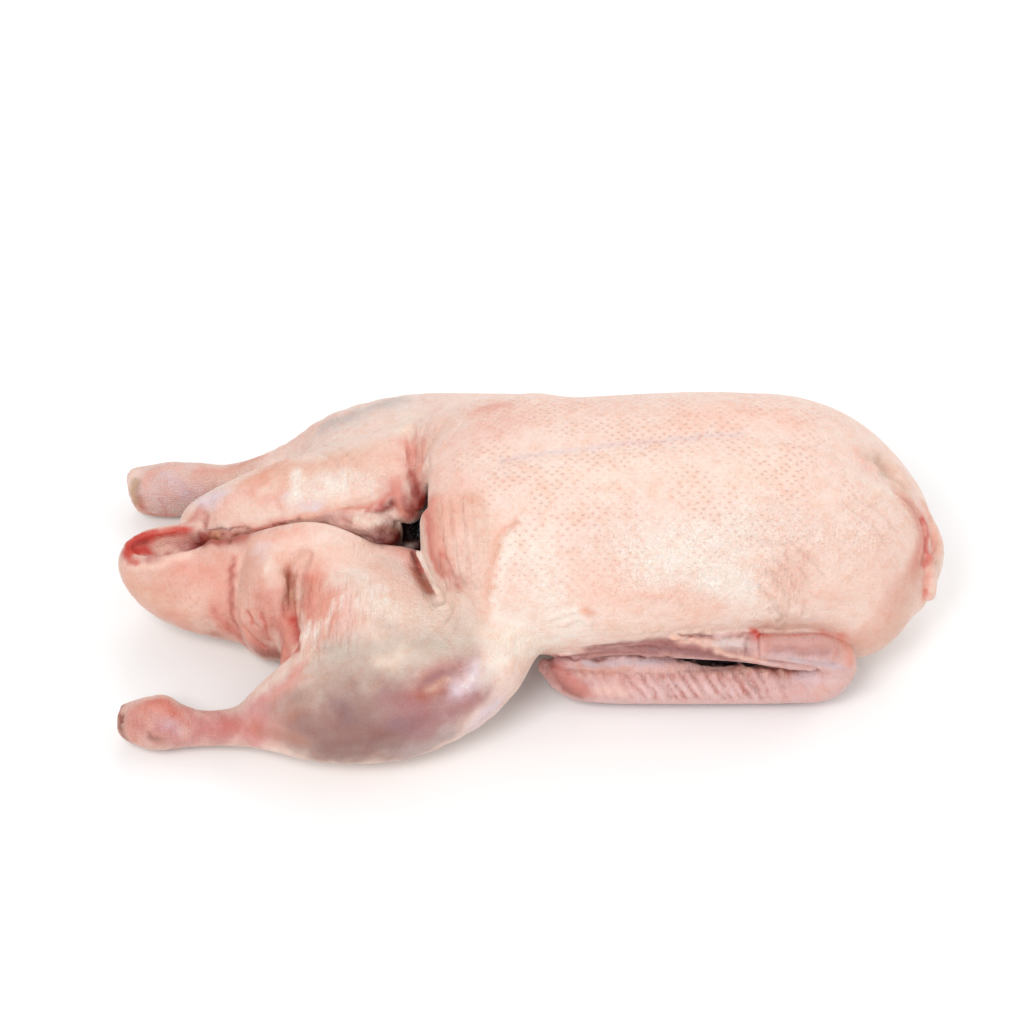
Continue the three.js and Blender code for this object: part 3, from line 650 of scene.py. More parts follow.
# Small lumps: height, width, and the place of each in the picture
LUMPS = [
    (0.9, 1.6, [(640, 631), (655, 630), (668, 631), (684, 632), (697, 631), (709, 633), (722, 634),
     (736, 633), (748, 631)]),
    (1.2, 1.6, [(588, 657), (600, 658), (612, 657), (624, 657), (637, 656), (648, 655), (660, 654),
     (575, 659)]),
    (2, 1.9, [(741, 668), (750, 671), (760, 669), (770, 673), (781, 670), (792, 674), (755, 676),
     (776, 678)]),
    (1.2, 2.2, [(214, 534), (222, 538), (231, 536), (240, 538)]),
    (-1.1, 1.5, [(124, 714)]),
    (0.8, 1.6, [(121, 717)]),
    (0.9, 1.8, [(121, 731)]),
    (1.1, 1.8, [(124, 707)]),
    (0.7, 2, [(163, 704)]),
]


def all_folds():
    """Every fold, ring and lump, with its places in the picture."""
    rings = [
        (height, RING_WIDTH, [(start + shift, v) for shift, v in run])
        for height, starts, run in SHANK_RINGS for start in starts
    ]
    lumps = [(height, width, [place]) for height, width, places in LUMPS for place in places]
    return FOLDS + rings + lumps


def raised(P, folds):
    """Height of the folds at each point."""
    out = np.zeros(len(P), np.float32)
    for height, width, line in folds:
        gap = limb(P, line, reach=3 * width) / width
        out += height * np.where(gap < 3, np.exp(-(gap**2)), 0)
    return out


# Share of a tone that the skin has itself, because the lamps are strong
EXPOSURE = 0.8

# Skin colours, as they look in daylight; the two near-black tones are painted shade for the cavity and
# the gaps of the wings, and some strokes in the pale tones are painted highlights
TONES = {
    "cream": (251, 222, 208), "ivory": (253, 233, 216), "fat": (254, 240, 228), "flush": (252, 209, 192),
    "pink": (249, 198, 185), "coral": (238, 162, 144), "salmon": (242, 182, 160), "rose": (222, 132, 118),
    "rosy": (234, 182, 165), "orange": (242, 180, 154), "raw": (214, 62, 48), "blood": (140, 22, 22),
    "wine": (106, 28, 28), "meat": (210, 140, 130), "tan": (236, 196, 174), "sand": (190, 128, 108),
    "ochre": (180, 102, 78), "umber": (148, 78, 64), "brown": (160, 112, 102), "tallow": (222, 176, 138),
    "gut": (228, 182, 174), "horn": (196, 160, 128), "olive": (214, 197, 183), "slate": (202, 188, 182),
    "veiled": (240, 220, 212), "veil": (226, 206, 210), "greyed": (212, 182, 168), "bruise": (142, 101, 98),
    "plum": (140, 104, 114), "lilac": (236, 218, 228), "shank": (220, 150, 148), "dusk": (192, 112, 98),
    "mauve": (178, 125, 125), "quill": (234, 192, 188), "film": (214, 192, 198), "shade": (36, 20, 22),
    "cavity_shade": (8, 3, 3), "moss": (198, 173, 160), "taupe": (176, 142, 132), "ash": (190, 166, 164),
    "blush": (221, 150, 135), "rust": (180, 84, 68), "crimson": (146, 38, 26), "maroon": (118, 34, 20),
    "dusky": (172, 114, 110), "rind": (214, 158, 148), "blossom": (244, 208, 206),
}

# Strokes of colour on the skin: tone, strength, radius in mm, and places in the picture, in its pixels.
# Some are painted highlights and painted shade, marked where they stand
PAINT = [
    # Breast
    ("flush", 0.5, 14, [(505, 414), (560, 410), (610, 408)]),
    ("flush", 0.85, 10, [(690, 414), (738, 409), (785, 416)]),
    ("pink", 0.6, 11, [(455, 440), (480, 430), (510, 425)]),
    ("coral", 0.6, 6, [(482, 410), (505, 404)]),
    ("pink", 0.45, 8, [(440, 470), (455, 480), (475, 490)]),
    ("ivory", 0.4, 14, [(560, 480), (620, 470), (700, 470), (760, 465)]),
    # Pale fat across the near breast, made brighter as a painted highlight
    ("fat", 0.85, 16, [(650, 566), (700, 572), (740, 580)]),
    ("fat", 0.75, 12, [(530, 545), (545, 585), (560, 610)]),
    ("fat", 0.6, 11, [(745, 512), (720, 530), (690, 545)]),
    ("flush", 0.85, 10, [(590, 588), (625, 592), (665, 598), (700, 606)]),
    ("fat", 0.8, 10, [(520, 625), (540, 640), (575, 632)]),
    ("fat", 0.6, 9, [(480, 600), (484, 622), (478, 640)]),
    ("orange", 0.8, 2.2, [(584, 610), (593, 614)]),
    ("fat", 0.9, 1.6, [(548, 616), (562, 612), (576, 609)]),
    ("fat", 0.8, 1.6, [(560, 622), (575, 616), (587, 623)]),
    ("flush", 0.55, 10, [(775, 575), (800, 592), (825, 600)]),
    ("salmon", 0.4, 7, [(805, 560), (790, 575)]),
    ("tan", 0.5, 4, [(760, 626), (775, 622), (784, 632)]),
    ("tan", 0.3, 3, [(600, 633), (640, 628), (700, 628), (745, 631)]),
    ("veil", 0.5, 1.8, [(500, 461), (540, 455), (582, 449), (624, 444), (664, 440), (705, 436),
     (743, 433)]),
    # A pale ridge of fat with a painted highlight on it, and orange painted shade in the groove beside it
    ("fat", 0.9, 2, [(524, 520), (513, 534), (506, 552)]),
    ("fat", 0.95, 3.2, [(504, 558), (498, 580), (493, 612)]),
    ("orange", 0.7, 3.2, [(515, 522), (503, 535), (494, 552), (489, 575), (485, 600), (484, 622)]),
    ("tan", 0.6, 6, [(470, 500), (482, 520), (486, 545)]),
    ("flush", 0.5, 8, [(452, 500), (462, 530), (462, 560)]),
    ("orange", 0.5, 3, [(470, 497), (480, 505)]),
    ("coral", 1, 7, [(430, 505), (433, 520), (437, 545), (444, 566)]),
    ("salmon", 0.7, 10, [(446, 508), (451, 530), (456, 556)]),
    ("rosy", 0.6, 5, [(465, 560), (470, 572), (466, 584)]),
    ("rose", 0.95, 3.4, [(425, 497), (427, 515), (429, 535), (432, 555), (437, 570)]),
    ("raw", 0.55, 1.5, [(440, 556), (447, 560), (452, 566)]),
    ("raw", 0.5, 1.6, [(441, 574), (449, 578), (455, 584)]),
    ("dusk", 0.6, 3.5, [(440, 566), (450, 574), (462, 582), (452, 588)]),
    ("greyed", 0.5, 4, [(470, 590), (472, 610), (462, 622)]),
    ("orange", 0.5, 4, [(484, 590), (480, 615), (474, 635)]),
    # Neck end
    ("flush", 0.45, 15, [(850, 520), (880, 545), (880, 580)]),
    ("cream", 0.5, 9, [(800, 520), (830, 490), (860, 480)]),
    ("salmon", 0.85, 7, [(905, 500), (919, 520), (922, 545), (915, 570)]),
    ("blush", 0.65, 6, [(910, 506), (919, 524), (921, 548), (914, 572)]),
    ("coral", 0.8, 3.5, [(921, 515), (924, 535), (923, 555)]),
    ("pink", 0.5, 9, [(895, 600), (885, 625), (865, 640)]),
    # Painted shade in the hollow of the neck skin
    ("tan", 0.8, 7, [(870, 458), (888, 470), (900, 482)]),
    ("greyed", 0.45, 3, [(878, 470), (893, 478), (903, 488)]),
    ("pink", 0.6, 4, [(855, 452), (862, 462), (868, 470)]),
    ("ivory", 0.6, 2.2, [(865, 484), (892, 499), (908, 514)]),
    ("fat", 0.4, 7, [(850, 520), (862, 530)]),
    ("salmon", 0.8, 4, [(925, 505), (937, 545), (934, 565)]),
    ("raw", 0.8, 1.5, [(922, 518), (927, 534), (928, 552), (925, 566)]),
    ("rose", 0.7, 2.2, [(924, 522), (930, 534), (932, 548), (928, 562)]),
    ("coral", 0.8, 3, [(928, 575), (926, 588), (925, 597)]),
    ("raw", 0.6, 1.3, [(927, 592), (923, 598)]),
    # Shoulder
    ("rosy", 0.85, 13, [(905, 590), (895, 618), (875, 640), (852, 648)]),
    ("tan", 0.5, 9, [(905, 610), (888, 632), (865, 648)]),
    # Far belly flap
    ("tan", 0.35, 12, [(230, 500), (280, 470), (340, 460), (390, 450)]),
    ("coral", 0.75, 4.5, [(250, 490), (262, 476), (276, 466)]),
    ("orange", 0.8, 7, [(250, 482), (266, 470), (281, 462), (282, 480)]),
    ("coral", 0.6, 4, [(266, 500), (278, 496), (284, 505)]),
    ("pink", 0.7, 5, [(204, 522), (222, 506), (246, 492)]),
    ("orange", 0.5, 7, [(300, 470), (330, 462), (370, 460)]),
    ("coral", 0.7, 3, [(235, 526), (255, 530), (275, 522), (300, 515)]),
    ("lilac", 0.6, 3, [(288, 496), (300, 505), (318, 506)]),
    # Painted highlight on the lobe of the far flap
    ("fat", 0.95, 3.8, [(296, 474), (297, 486), (291, 500)]),
    ("fat", 0.9, 4.5, [(328, 482), (338, 488), (345, 478)]),
    ("fat", 0.6, 3, [(318, 496), (330, 500)]),
    ("ivory", 0.9, 4.5, [(412, 416), (405, 424), (399, 436)]),
    ("flush", 0.7, 8, [(385, 445), (393, 458), (396, 472)]),
    ("flush", 0.6, 10, [(436, 432), (432, 450), (432, 472)]),
    ("salmon", 0.85, 2.5, [(300, 516), (330, 512), (360, 508), (383, 500)]),
    ("rose", 0.7, 1.8, [(345, 511), (365, 508), (385, 500), (393, 492)]),
    ("rose", 0.75, 3.6, [(182, 530), (190, 522), (200, 510)]),
    ("dusk", 0.7, 1.4, [(202, 505), (205, 516), (204, 526)]),
    ("wine", 0.5, 0.9, [(201, 518), (206, 526), (206, 531)]),
    ("pink", 0.8, 7, [(404, 440), (410, 455), (414, 470)]),
    ("coral", 0.7, 4, [(409, 446), (412, 460), (414, 476)]),
    ("rust", 1, 4.5, [(412, 474), (415, 486), (418, 497)]),
    ("crimson", 0.8, 3, [(417, 488), (419, 497), (421, 507)]),
    ("coral", 0.6, 3.5, [(424, 440), (422, 460), (422, 478)]),
    ("rose", 0.9, 6, [(394, 490), (399, 500), (404, 512)]),
    ("crimson", 1, 4.5, [(402, 506), (408, 512), (415, 507), (418, 500)]),
    ("coral", 0.8, 3, [(397, 485), (398, 500), (402, 512)]),
    ("dusk", 0.7, 1.5, [(413, 500), (415, 512), (417, 518)]),
    # Far leg
    ("veiled", 0.75, 13, [(290, 444), (325, 430), (362, 414), (400, 405), (425, 402)]),
    ("slate", 0.7, 7, [(318, 432), (340, 420), (365, 409), (395, 400)]),
    ("flush", 0.6, 6, [(262, 458), (287, 447), (310, 436)]),
    ("pink", 0.6, 2.5, [(290, 441), (318, 425), (345, 413)]),
    ("flush", 0.4, 8, [(425, 405), (440, 415), (445, 430)]),
    ("blossom", 0.9, 12, [(146, 490), (168, 490), (192, 486)]),
    ("flush", 0.5, 6, [(200, 478), (225, 474), (250, 466)]),
    ("lilac", 0.75, 4.5, [(190, 493), (206, 500), (222, 494)]),
    ("lilac", 0.5, 3, [(160, 474), (175, 480), (186, 490)]),
    ("coral", 0.6, 3, [(200, 471), (235, 467), (262, 456)]),
    ("pink", 0.7, 3, [(143, 480), (160, 468), (180, 466)]),
    ("coral", 0.9, 2.6, [(139, 500), (146, 511), (158, 516), (172, 515)]),
    ("rose", 0.7, 1.4, [(142, 505), (152, 514), (160, 514)]),
    ("rose", 0.6, 1, [(160, 500), (163, 508), (166, 514)]),
    ("horn", 0.95, 2.6, [(134, 482), (134, 491), (136, 503)]),
    ("brown", 0.5, 1, [(139, 480), (138, 492), (140, 504)]),
    # Tail
    ("rosy", 1, 22, [(150, 592), (185, 592), (215, 590), (215, 565)]),
    ("orange", 0.6, 7, [(128, 575), (136, 590), (160, 605), (180, 620)]),
    ("tan", 0.6, 5, [(136, 590), (150, 602), (165, 610)]),
    ("coral", 0.65, 8, [(178, 568), (200, 575), (222, 570)]),
    ("coral", 0.5, 6, [(165, 615), (185, 628), (210, 635)]),
    ("coral", 0.7, 6, [(222, 590), (224, 610), (226, 630)]),
    ("dusk", 0.6, 5, [(216, 636)]),
    ("flush", 0.5, 6, [(200, 600), (190, 612)]),
    ("raw", 1, 3.6, [(130, 547), (137, 541), (152, 537), (170, 533), (184, 531)]),
    ("raw", 1, 3, [(131, 545), (140, 539), (150, 536)]),
    ("coral", 0.7, 1.6, [(145, 533), (165, 528), (182, 526)]),
    ("raw", 1, 4, [(131, 551), (139, 549), (146, 551)]),
    ("blood", 0.6, 1.8, [(133, 547), (139, 544), (146, 543)]),
    ("raw", 0.9, 2.2, [(125, 552), (128, 560), (137, 563)]),
    ("meat", 1, 5, [(152, 556), (170, 552), (186, 546)]),
    ("flush", 0.8, 2, [(160, 553), (168, 549), (176, 552)]),
    ("gut", 0.8, 1.4, [(182, 545), (190, 547), (194, 544)]),
    ("crimson", 1, 4.6, [(194, 546), (203, 541), (212, 537)]),
    ("wine", 0.7, 1.6, [(198, 543), (206, 539)]),
    ("crimson", 0.9, 2.6, [(196, 549), (204, 546), (212, 542), (219, 541)]),
    ("wine", 0.6, 1.3, [(198, 547), (206, 544), (213, 541)]),
    ("blood", 0.7, 2, [(200, 537), (207, 541)]),
    ("flush", 0.95, 1.5, [(124, 565), (136, 568), (160, 566), (182, 557), (200, 549)]),
    # Fat lumps, gut and cavity mouth
    ("rust", 0.95, 5, [(210, 539), (222, 540), (234, 539), (248, 537)]),
    ("rust", 0.8, 2.2, [(216, 534), (226, 534), (236, 534)]),
    ("tallow", 0.6, 1.1, [(213, 535), (222, 538), (231, 537)]),
    ("umber", 0.75, 1.2, [(224, 534), (227, 539), (230, 542)]),
    ("ochre", 0.8, 1.5, [(234, 533), (240, 536), (246, 533)]),
    ("tallow", 0.8, 1.2, [(216, 532), (220, 535)]),
    ("wine", 0.75, 1.1, [(209, 530), (222, 529), (240, 527), (250, 527)]),
    ("rose", 0.8, 1.6, [(255, 530), (270, 526), (285, 523)]),
    ("gut", 0.8, 2.2, [(256, 534), (270, 531), (285, 526)]),
    ("wine", 0.6, 1, [(275, 524), (290, 521), (300, 519)]),
    ("gut", 0.95, 3.2, [(322, 519), (334, 521)]),
    ("rust", 0.8, 2.4, [(340, 518), (350, 521)]),
    ("gut", 0.9, 2, [(330, 517), (346, 515), (356, 517)]),
    ("gut", 1, 3.6, [(360, 519), (372, 525), (384, 524)]),
    # Painted highlight on the glossy gut piece
    ("ivory", 0.9, 2, [(356, 518), (370, 523), (382, 521)]),
    # Painted shade in maroon on the lower side of the gut pieces, over their own dark red
    ("maroon", 1, 4, [(374, 536), (386, 534), (398, 536)]),
    ("sand", 0.7, 1.6, [(380, 529), (388, 527), (396, 530)]),
    ("ochre", 0.6, 1.5, [(378, 540), (388, 541), (398, 540)]),
    ("crimson", 0.9, 2, [(376, 512), (386, 508), (394, 504)]),
    ("raw", 0.7, 1.2, [(366, 512), (376, 509), (384, 503)]),
    # Painted shade in the crevice under the gut pieces
    ("wine", 0.8, 1.2, [(346, 526), (362, 531), (374, 535)]),
    # Near lip and belly
    ("pink", 0.75, 5, [(265, 540), (300, 530), (345, 530), (385, 545), (415, 562)]),
    ("coral", 0.7, 3, [(385, 543), (405, 550), (418, 562), (427, 578)]),
    ("salmon", 0.6, 3.5, [(250, 545), (275, 535), (300, 528)]),
    ("flush", 0.6, 8, [(300, 545), (330, 550), (370, 560)]),
    # Painted shade in the crevice between the gut pieces and the near lip
    ("maroon", 0.95, 3.4, [(380, 539), (390, 542), (399, 538)]),
    ("wine", 0.85, 1.8, [(366, 537), (378, 542), (390, 545), (398, 545)]),
    ("lilac", 0.4, 3, [(262, 560), (258, 550), (268, 545)]),
    ("coral", 0.65, 6, [(258, 580), (266, 598), (266, 615)]),
    ("salmon", 0.6, 4, [(278, 560), (286, 572), (280, 590)]),
    # Painted highlight on the belly fold
    ("fat", 0.8, 2, [(270, 560), (266, 572), (268, 586)]),
    ("rosy", 1, 10, [(248, 572), (252, 600), (262, 625)]),
    ("salmon", 0.5, 3, [(238, 565), (237, 590), (240, 612)]),
    ("flush", 0.9, 1.8, [(240, 558), (237, 574), (238, 596), (242, 614)]),
    ("rose", 0.9, 2, [(235, 558), (232, 575), (232, 596), (234, 615), (240, 636)]),
    ("umber", 0.6, 1.1, [(234, 560), (232, 575), (232, 596), (234, 615), (240, 638)]),
    ("coral", 0.9, 6, [(245, 628), (252, 642), (268, 652)]),
    ("rose", 0.7, 3.2, [(215, 610), (228, 630), (243, 642)]),
    ("rose", 0.8, 4, [(258, 645), (272, 655), (284, 662)]),
    ("dusk", 0.7, 3, [(278, 625), (282, 645), (288, 658)]),
    ("rose", 0.6, 3.5, [(277, 600), (280, 615), (282, 630)]),
    ("salmon", 0.5, 5, [(290, 556), (288, 566), (294, 576)]),
    ("blush", 0.9, 6, [(264, 600), (264, 618), (262, 634)]),
    ("dusk", 0.8, 5, [(258, 652), (276, 657)]),
    ("rust", 0.9, 5, [(288, 612), (290, 636), (284, 654)]),
    ("ochre", 1, 4, [(288, 574), (289, 592), (291, 606), (294, 618)]),
    ("umber", 0.7, 1.5, [(287, 576), (287, 590), (290, 606)]),
    ("tallow", 0.6, 1.2, [(292, 592), (293, 604), (294, 612)]),
    ("coral", 0.8, 6, [(290, 615), (290, 636), (286, 655)]),
    ("raw", 0.8, 2.6, [(295, 618), (298, 636), (296, 652)]),
    ("umber", 0.5, 1.5, [(298, 622), (299, 636), (299, 650)]),
    ("raw", 0.75, 1.2, [(247, 612), (250, 618), (252, 624)]),
    ("raw", 0.6, 0.9, [(262, 614), (266, 628), (268, 640)]),
    ("raw", 0.5, 0.9, [(250, 634), (258, 642), (266, 646)]),
    ("coral", 1, 8, [(310, 572), (313, 592), (318, 610)]),
    ("salmon", 0.8, 4, [(311, 585), (315, 600), (319, 614)]),
    ("rose", 0.6, 4, [(306, 580), (307, 600), (310, 620)]),
    ("coral", 0.8, 6, [(330, 592), (333, 612), (326, 635)]),
    ("coral", 0.5, 5, [(318, 640), (312, 655), (305, 668)]),
    ("pink", 0.8, 7, [(348, 595), (352, 618), (342, 640)]),
    ("flush", 0.6, 6, [(368, 590), (370, 606), (362, 622)]),
    # Painted highlights on the fine wrinkles of the near leg
    ("fat", 0.7, 1.5, [(319, 620), (316, 636), (313, 650)]),
    ("fat", 0.8, 1.2, [(309, 622), (307, 636)]),
    ("fat", 0.8, 1.2, [(333, 600), (329, 616), (325, 632)]),
    ("fat", 0.75, 1.2, [(343, 596), (339, 610)]),
    ("fat", 0.75, 1.3, [(362, 592), (357, 607)]),
    ("fat", 0.7, 1.3, [(377, 587), (373, 600)]),
    ("fat", 0.7, 1.3, [(387, 590), (383, 606)]),
    ("orange", 0.4, 6, [(380, 570), (395, 580), (405, 595)]),
    ("fat", 0.55, 7, [(352, 572), (372, 590), (378, 610)]),
    # Slit and its edges
    ("ochre", 0.8, 3, [(418, 572), (424, 584), (430, 592)]),
    ("raw", 0.8, 2, [(413, 552), (418, 562), (423, 572)]),
    ("umber", 0.8, 1.3, [(413, 556), (417, 568), (423, 580)]),
    ("ochre", 0.6, 1.6, [(428, 566), (431, 578), (434, 588)]),
    ("coral", 0.6, 3, [(407, 556), (413, 570), (424, 588)]),
    ("fat", 0.9, 1.6, [(421, 558), (427, 568), (433, 580), (438, 590)]),
    # Near leg
    ("cream", 0.6, 10, [(460, 560), (470, 590), (450, 640)]),
    ("ivory", 0.7, 10, [(390, 610), (420, 615), (445, 605)]),
    ("ivory", 0.8, 9, [(500, 640), (520, 645), (535, 650)]),
    ("tan", 0.4, 5, [(448, 600), (450, 616), (434, 630)]),
    ("olive", 0.95, 13, [(340, 652), (380, 650), (420, 648), (455, 645)]),
    ("moss", 0.95, 13, [(300, 692), (322, 680), (350, 672), (378, 672)]),
    ("olive", 0.7, 8, [(400, 672), (420, 664), (440, 656)]),
    ("ivory", 0.6, 5, [(376, 660), (392, 661), (402, 654)]),
    ("taupe", 1, 10, [(286, 724), (304, 720), (320, 710), (338, 702)]),
    ("taupe", 1, 10, [(350, 702), (375, 696), (398, 690)]),
    ("bruise", 1, 12, [(304, 742), (330, 744), (360, 742), (390, 740), (412, 736)]),
    ("bruise", 0.8, 12, [(340, 722), (372, 722), (402, 720), (430, 716)]),
    ("mauve", 1, 10, [(396, 706), (422, 700), (445, 692)]),
    ("mauve", 0.95, 9, [(420, 726), (440, 718), (462, 706), (478, 692)]),
    ("brown", 0.5, 6, [(326, 720), (338, 728), (352, 730)]),
    ("umber", 0.4, 4, [(372, 732), (388, 736), (402, 734)]),
    ("umber", 0.3, 3, [(398, 700), (410, 698), (418, 704)]),
    ("plum", 0.5, 5, [(396, 724), (410, 726), (420, 718)]),
    ("plum", 0.35, 3.4, [(336, 702), (344, 712), (348, 720)]),
    ("taupe", 0.5, 3.4, [(366, 706), (380, 713), (394, 706)]),
    ("taupe", 1, 10, [(306, 750), (335, 755), (368, 757), (400, 753)]),
    ("bruise", 0.6, 7, [(330, 751), (360, 753), (392, 750)]),
    ("ash", 0.9, 9, [(418, 748), (436, 742), (452, 732)]),
    ("lilac", 0.8, 7, [(480, 724), (493, 708)]),
    ("dusk", 0.6, 6, [(418, 690), (438, 678), (458, 669)]),
    ("plum", 0.5, 3, [(424, 686), (440, 677), (456, 671)]),
    ("mauve", 0.6, 5, [(462, 663), (478, 665), (486, 676), (484, 692)]),
    ("ochre", 0.7, 3.2, [(424, 695), (436, 691), (447, 685)]),
    ("mauve", 0.7, 5, [(408, 700), (420, 708), (436, 706)]),
    ("tan", 0.6, 1.8, [(428, 690), (440, 685), (450, 680)]),
    # Painted highlight on the near drumstick
    ("lilac", 0.9, 4.5, [(458, 690), (467, 683), (474, 672)]),
    ("fat", 0.5, 1.8, [(464, 685), (470, 678)]),
    ("fat", 0.9, 7, [(490, 668), (500, 664), (508, 658)]),
    ("shank", 0.8, 5, [(252, 708), (270, 700), (286, 688), (297, 674)]),
    ("coral", 0.5, 3, [(262, 702), (280, 692), (292, 680), (300, 664)]),
    ("rosy", 0.5, 3, [(272, 700), (286, 690), (300, 676)]),
    ("taupe", 0.7, 5, [(266, 714), (284, 706), (298, 694)]),
    ("sand", 0.4, 4, [(262, 722), (282, 718), (300, 712)]),
    ("shank", 1, 10, [(200, 727), (240, 727), (262, 726)]),
    ("rose", 0.6, 5, [(210, 730), (235, 726), (258, 728)]),
    ("sand", 0.6, 5, [(262, 730), (282, 736), (300, 742)]),
    ("shank", 1, 13, [(140, 725), (165, 725), (190, 722)]),
    ("lilac", 0.5, 4, [(168, 722), (176, 718), (184, 728)]),
    ("flush", 0.5, 3, [(140, 715), (150, 722), (148, 735)]),
    ("flush", 0.6, 3, [(184, 716), (188, 726), (184, 738)]),
    ("raw", 0.8, 2.6, [(150, 702), (160, 701), (168, 706)]),
    ("coral", 0.9, 4, [(148, 706), (162, 706), (178, 712)]),
    ("rose", 0.6, 2, [(170, 710), (180, 716), (188, 722)]),
    ("sand", 0.5, 2.6, [(150, 738), (155, 742), (162, 743)]),
    ("umber", 0.5, 1.4, [(149, 734), (152, 740), (158, 741)]),
    ("coral", 0.6, 5, [(135, 712), (130, 725), (134, 740)]),
    ("sand", 0.95, 3, [(120, 715), (119, 727), (124, 738)]),
    ("umber", 0.8, 1.3, [(124, 706), (122, 718), (120, 728)]),
]

# Strokes that both folded wings have
WING_PAINT = [
    ("dusky", 0.9, 5, [(550, 666), (562, 682), (580, 693)]),
    ("umber", 0.5, 1.6, [(552, 668), (562, 684), (580, 697)]),
    ("rose", 0.5, 2, [(560, 664), (574, 680), (596, 696)]),
    ("rose", 0.5, 2.5, [(556, 668), (566, 680), (585, 694)]),
    ("flush", 0.6, 3, [(600, 690), (625, 692)]),
    ("rosy", 0.7, 2.4, [(580, 671), (640, 671), (700, 672), (750, 671)]),
    ("blossom", 0.7, 7, [(640, 684), (690, 686), (740, 686)]),
    ("blush", 0.35, 3, [(600, 676), (650, 677), (700, 677), (745, 679)]),
    ("blossom", 0.7, 5, [(805, 674), (820, 680), (832, 680)]),
    ("ochre", 0.8, 3.2, [(742, 668), (758, 670), (775, 672), (792, 674)]),
    ("rust", 0.7, 1.1, [(742, 665), (756, 668), (772, 668), (788, 674)]),
    ("rust", 0.6, 1, [(752, 669), (760, 680), (768, 690)]),
    ("umber", 0.5, 1, [(770, 672), (778, 680), (784, 688)]),
    ("flush", 0.8, 1.3, [(746, 669), (750, 672)]),
    ("flush", 0.8, 1.3, [(763, 672), (767, 675)]),
    ("flush", 0.8, 1.3, [(780, 673), (785, 676)]),
    ("ochre", 0.5, 1.6, [(572, 658), (590, 659), (606, 660)]),
    ("raw", 0.6, 1, [(556, 655), (563, 654)]),
    ("mauve", 0.95, 3, [(560, 658), (610, 655), (660, 656)]),
    ("film", 0.9, 2, [(586, 663), (610, 663), (640, 662), (662, 661)]),
    ("film", 0.7, 1.5, [(640, 666), (655, 662), (672, 660)]),
    ("shade", 0.95, 1.6, [(668, 656), (690, 659), (715, 663), (745, 667), (762, 668)]),
    ("dusky", 1, 3.2, [(582, 653), (620, 651), (660, 651), (705, 654), (738, 659)]),
    ("dusky", 1, 3.2, [(590, 649), (620, 644), (650, 642), (672, 645), (700, 649), (730, 655)]),
    ("plum", 0.4, 2, [(650, 648), (680, 651), (712, 655)]),
    ("rosy", 0.5, 1.2, [(590, 656), (640, 654), (680, 654)]),
    # Painted shade in the crevice under the wing's upper strip
    ("maroon", 0.9, 1.1, [(566, 657), (600, 658), (640, 657), (672, 657)]),
    ("flush", 0.95, 1.8, [(672, 637), (685, 638), (700, 642), (715, 647)]),
    ("umber", 0.9, 1, [(680, 634), (695, 635), (712, 638)]),
    ("umber", 0.8, 1, [(720, 638), (735, 637), (750, 635)]),
    ("fat", 0.8, 2.4, [(718, 643), (732, 643), (746, 645)]),
    ("film", 0.5, 2.4, [(718, 643), (732, 643), (746, 645)]),
    ("flush", 0.9, 1.6, [(716, 650), (740, 656), (765, 660)]),
    ("raw", 1, 3, [(753, 631), (758, 636), (765, 635)]),
    ("coral", 0.95, 2, [(768, 634), (800, 635), (830, 635), (843, 638)]),
    ("raw", 0.4, 0.9, [(768, 634), (800, 635), (830, 635)]),
    ("umber", 0.8, 1.2, [(747, 640), (746, 650)]),
    ("rind", 0.9, 6, [(770, 646), (805, 647), (835, 650)]),
    ("mauve", 0.5, 2.2, [(775, 650), (800, 651), (826, 653)]),
    ("film", 0.4, 2.5, [(775, 656), (800, 660), (825, 661)]),
    ("coral", 0.75, 3, [(843, 642), (850, 652), (850, 662)]),
    ("film", 0.85, 2.6, [(795, 661), (820, 665), (840, 668)]),
    ("lilac", 0.5, 4, [(800, 676), (818, 682), (835, 684)]),
    ("rosy", 0.6, 4, [(820, 690), (838, 684)]),
    ("wine", 0.5, 1.2, [(547, 660), (560, 657), (575, 654)]),
    ("umber", 0.6, 0.8, [(600, 649), (640, 646), (680, 648), (720, 655), (755, 662)]),
]


def linear(tone):
    """The tone as light, from its picture value."""
    c = np.array(TONES[tone]) / 255
    return EXPOSURE * np.where(c <= 0.04045, c / 12.92, ((c + 0.055) / 1.055) ** 2.4)


def close_to(P, line, radius):
    """One on the line, fading to nothing at about twice the radius."""
    gap = limb(P, line, reach=2.2 * radius) / radius
    return np.where(gap < 2.1, np.exp(-1.4 * gap**2), 0).astype(np.float32)


def wandering(P, waves):
    """The points nudged about, so that no patch of colour has an even edge."""
    turn = np.array([(0.73, -0.52, 0.44), (0.59, 0.8, -0.03), (-0.34, 0.28, 0.9)], np.float32)
    out = P.astype(np.float32)
    for size, reach in waves:
        q = P @ turn / size
        out = out + reach * np.sin(q[:, [1, 2, 0]] + 1.4 * np.sin(1.7 * q[:, [2, 0, 1]]))
    return out


# Waves that make the edges of the colours wander: size and reach
WIDE_WAVES = ((9, 2.2), (4, 1.4), (1.7, 0.8))
NARROW_WAVES = ((2.6, 0.5), (1.3, 0.35))


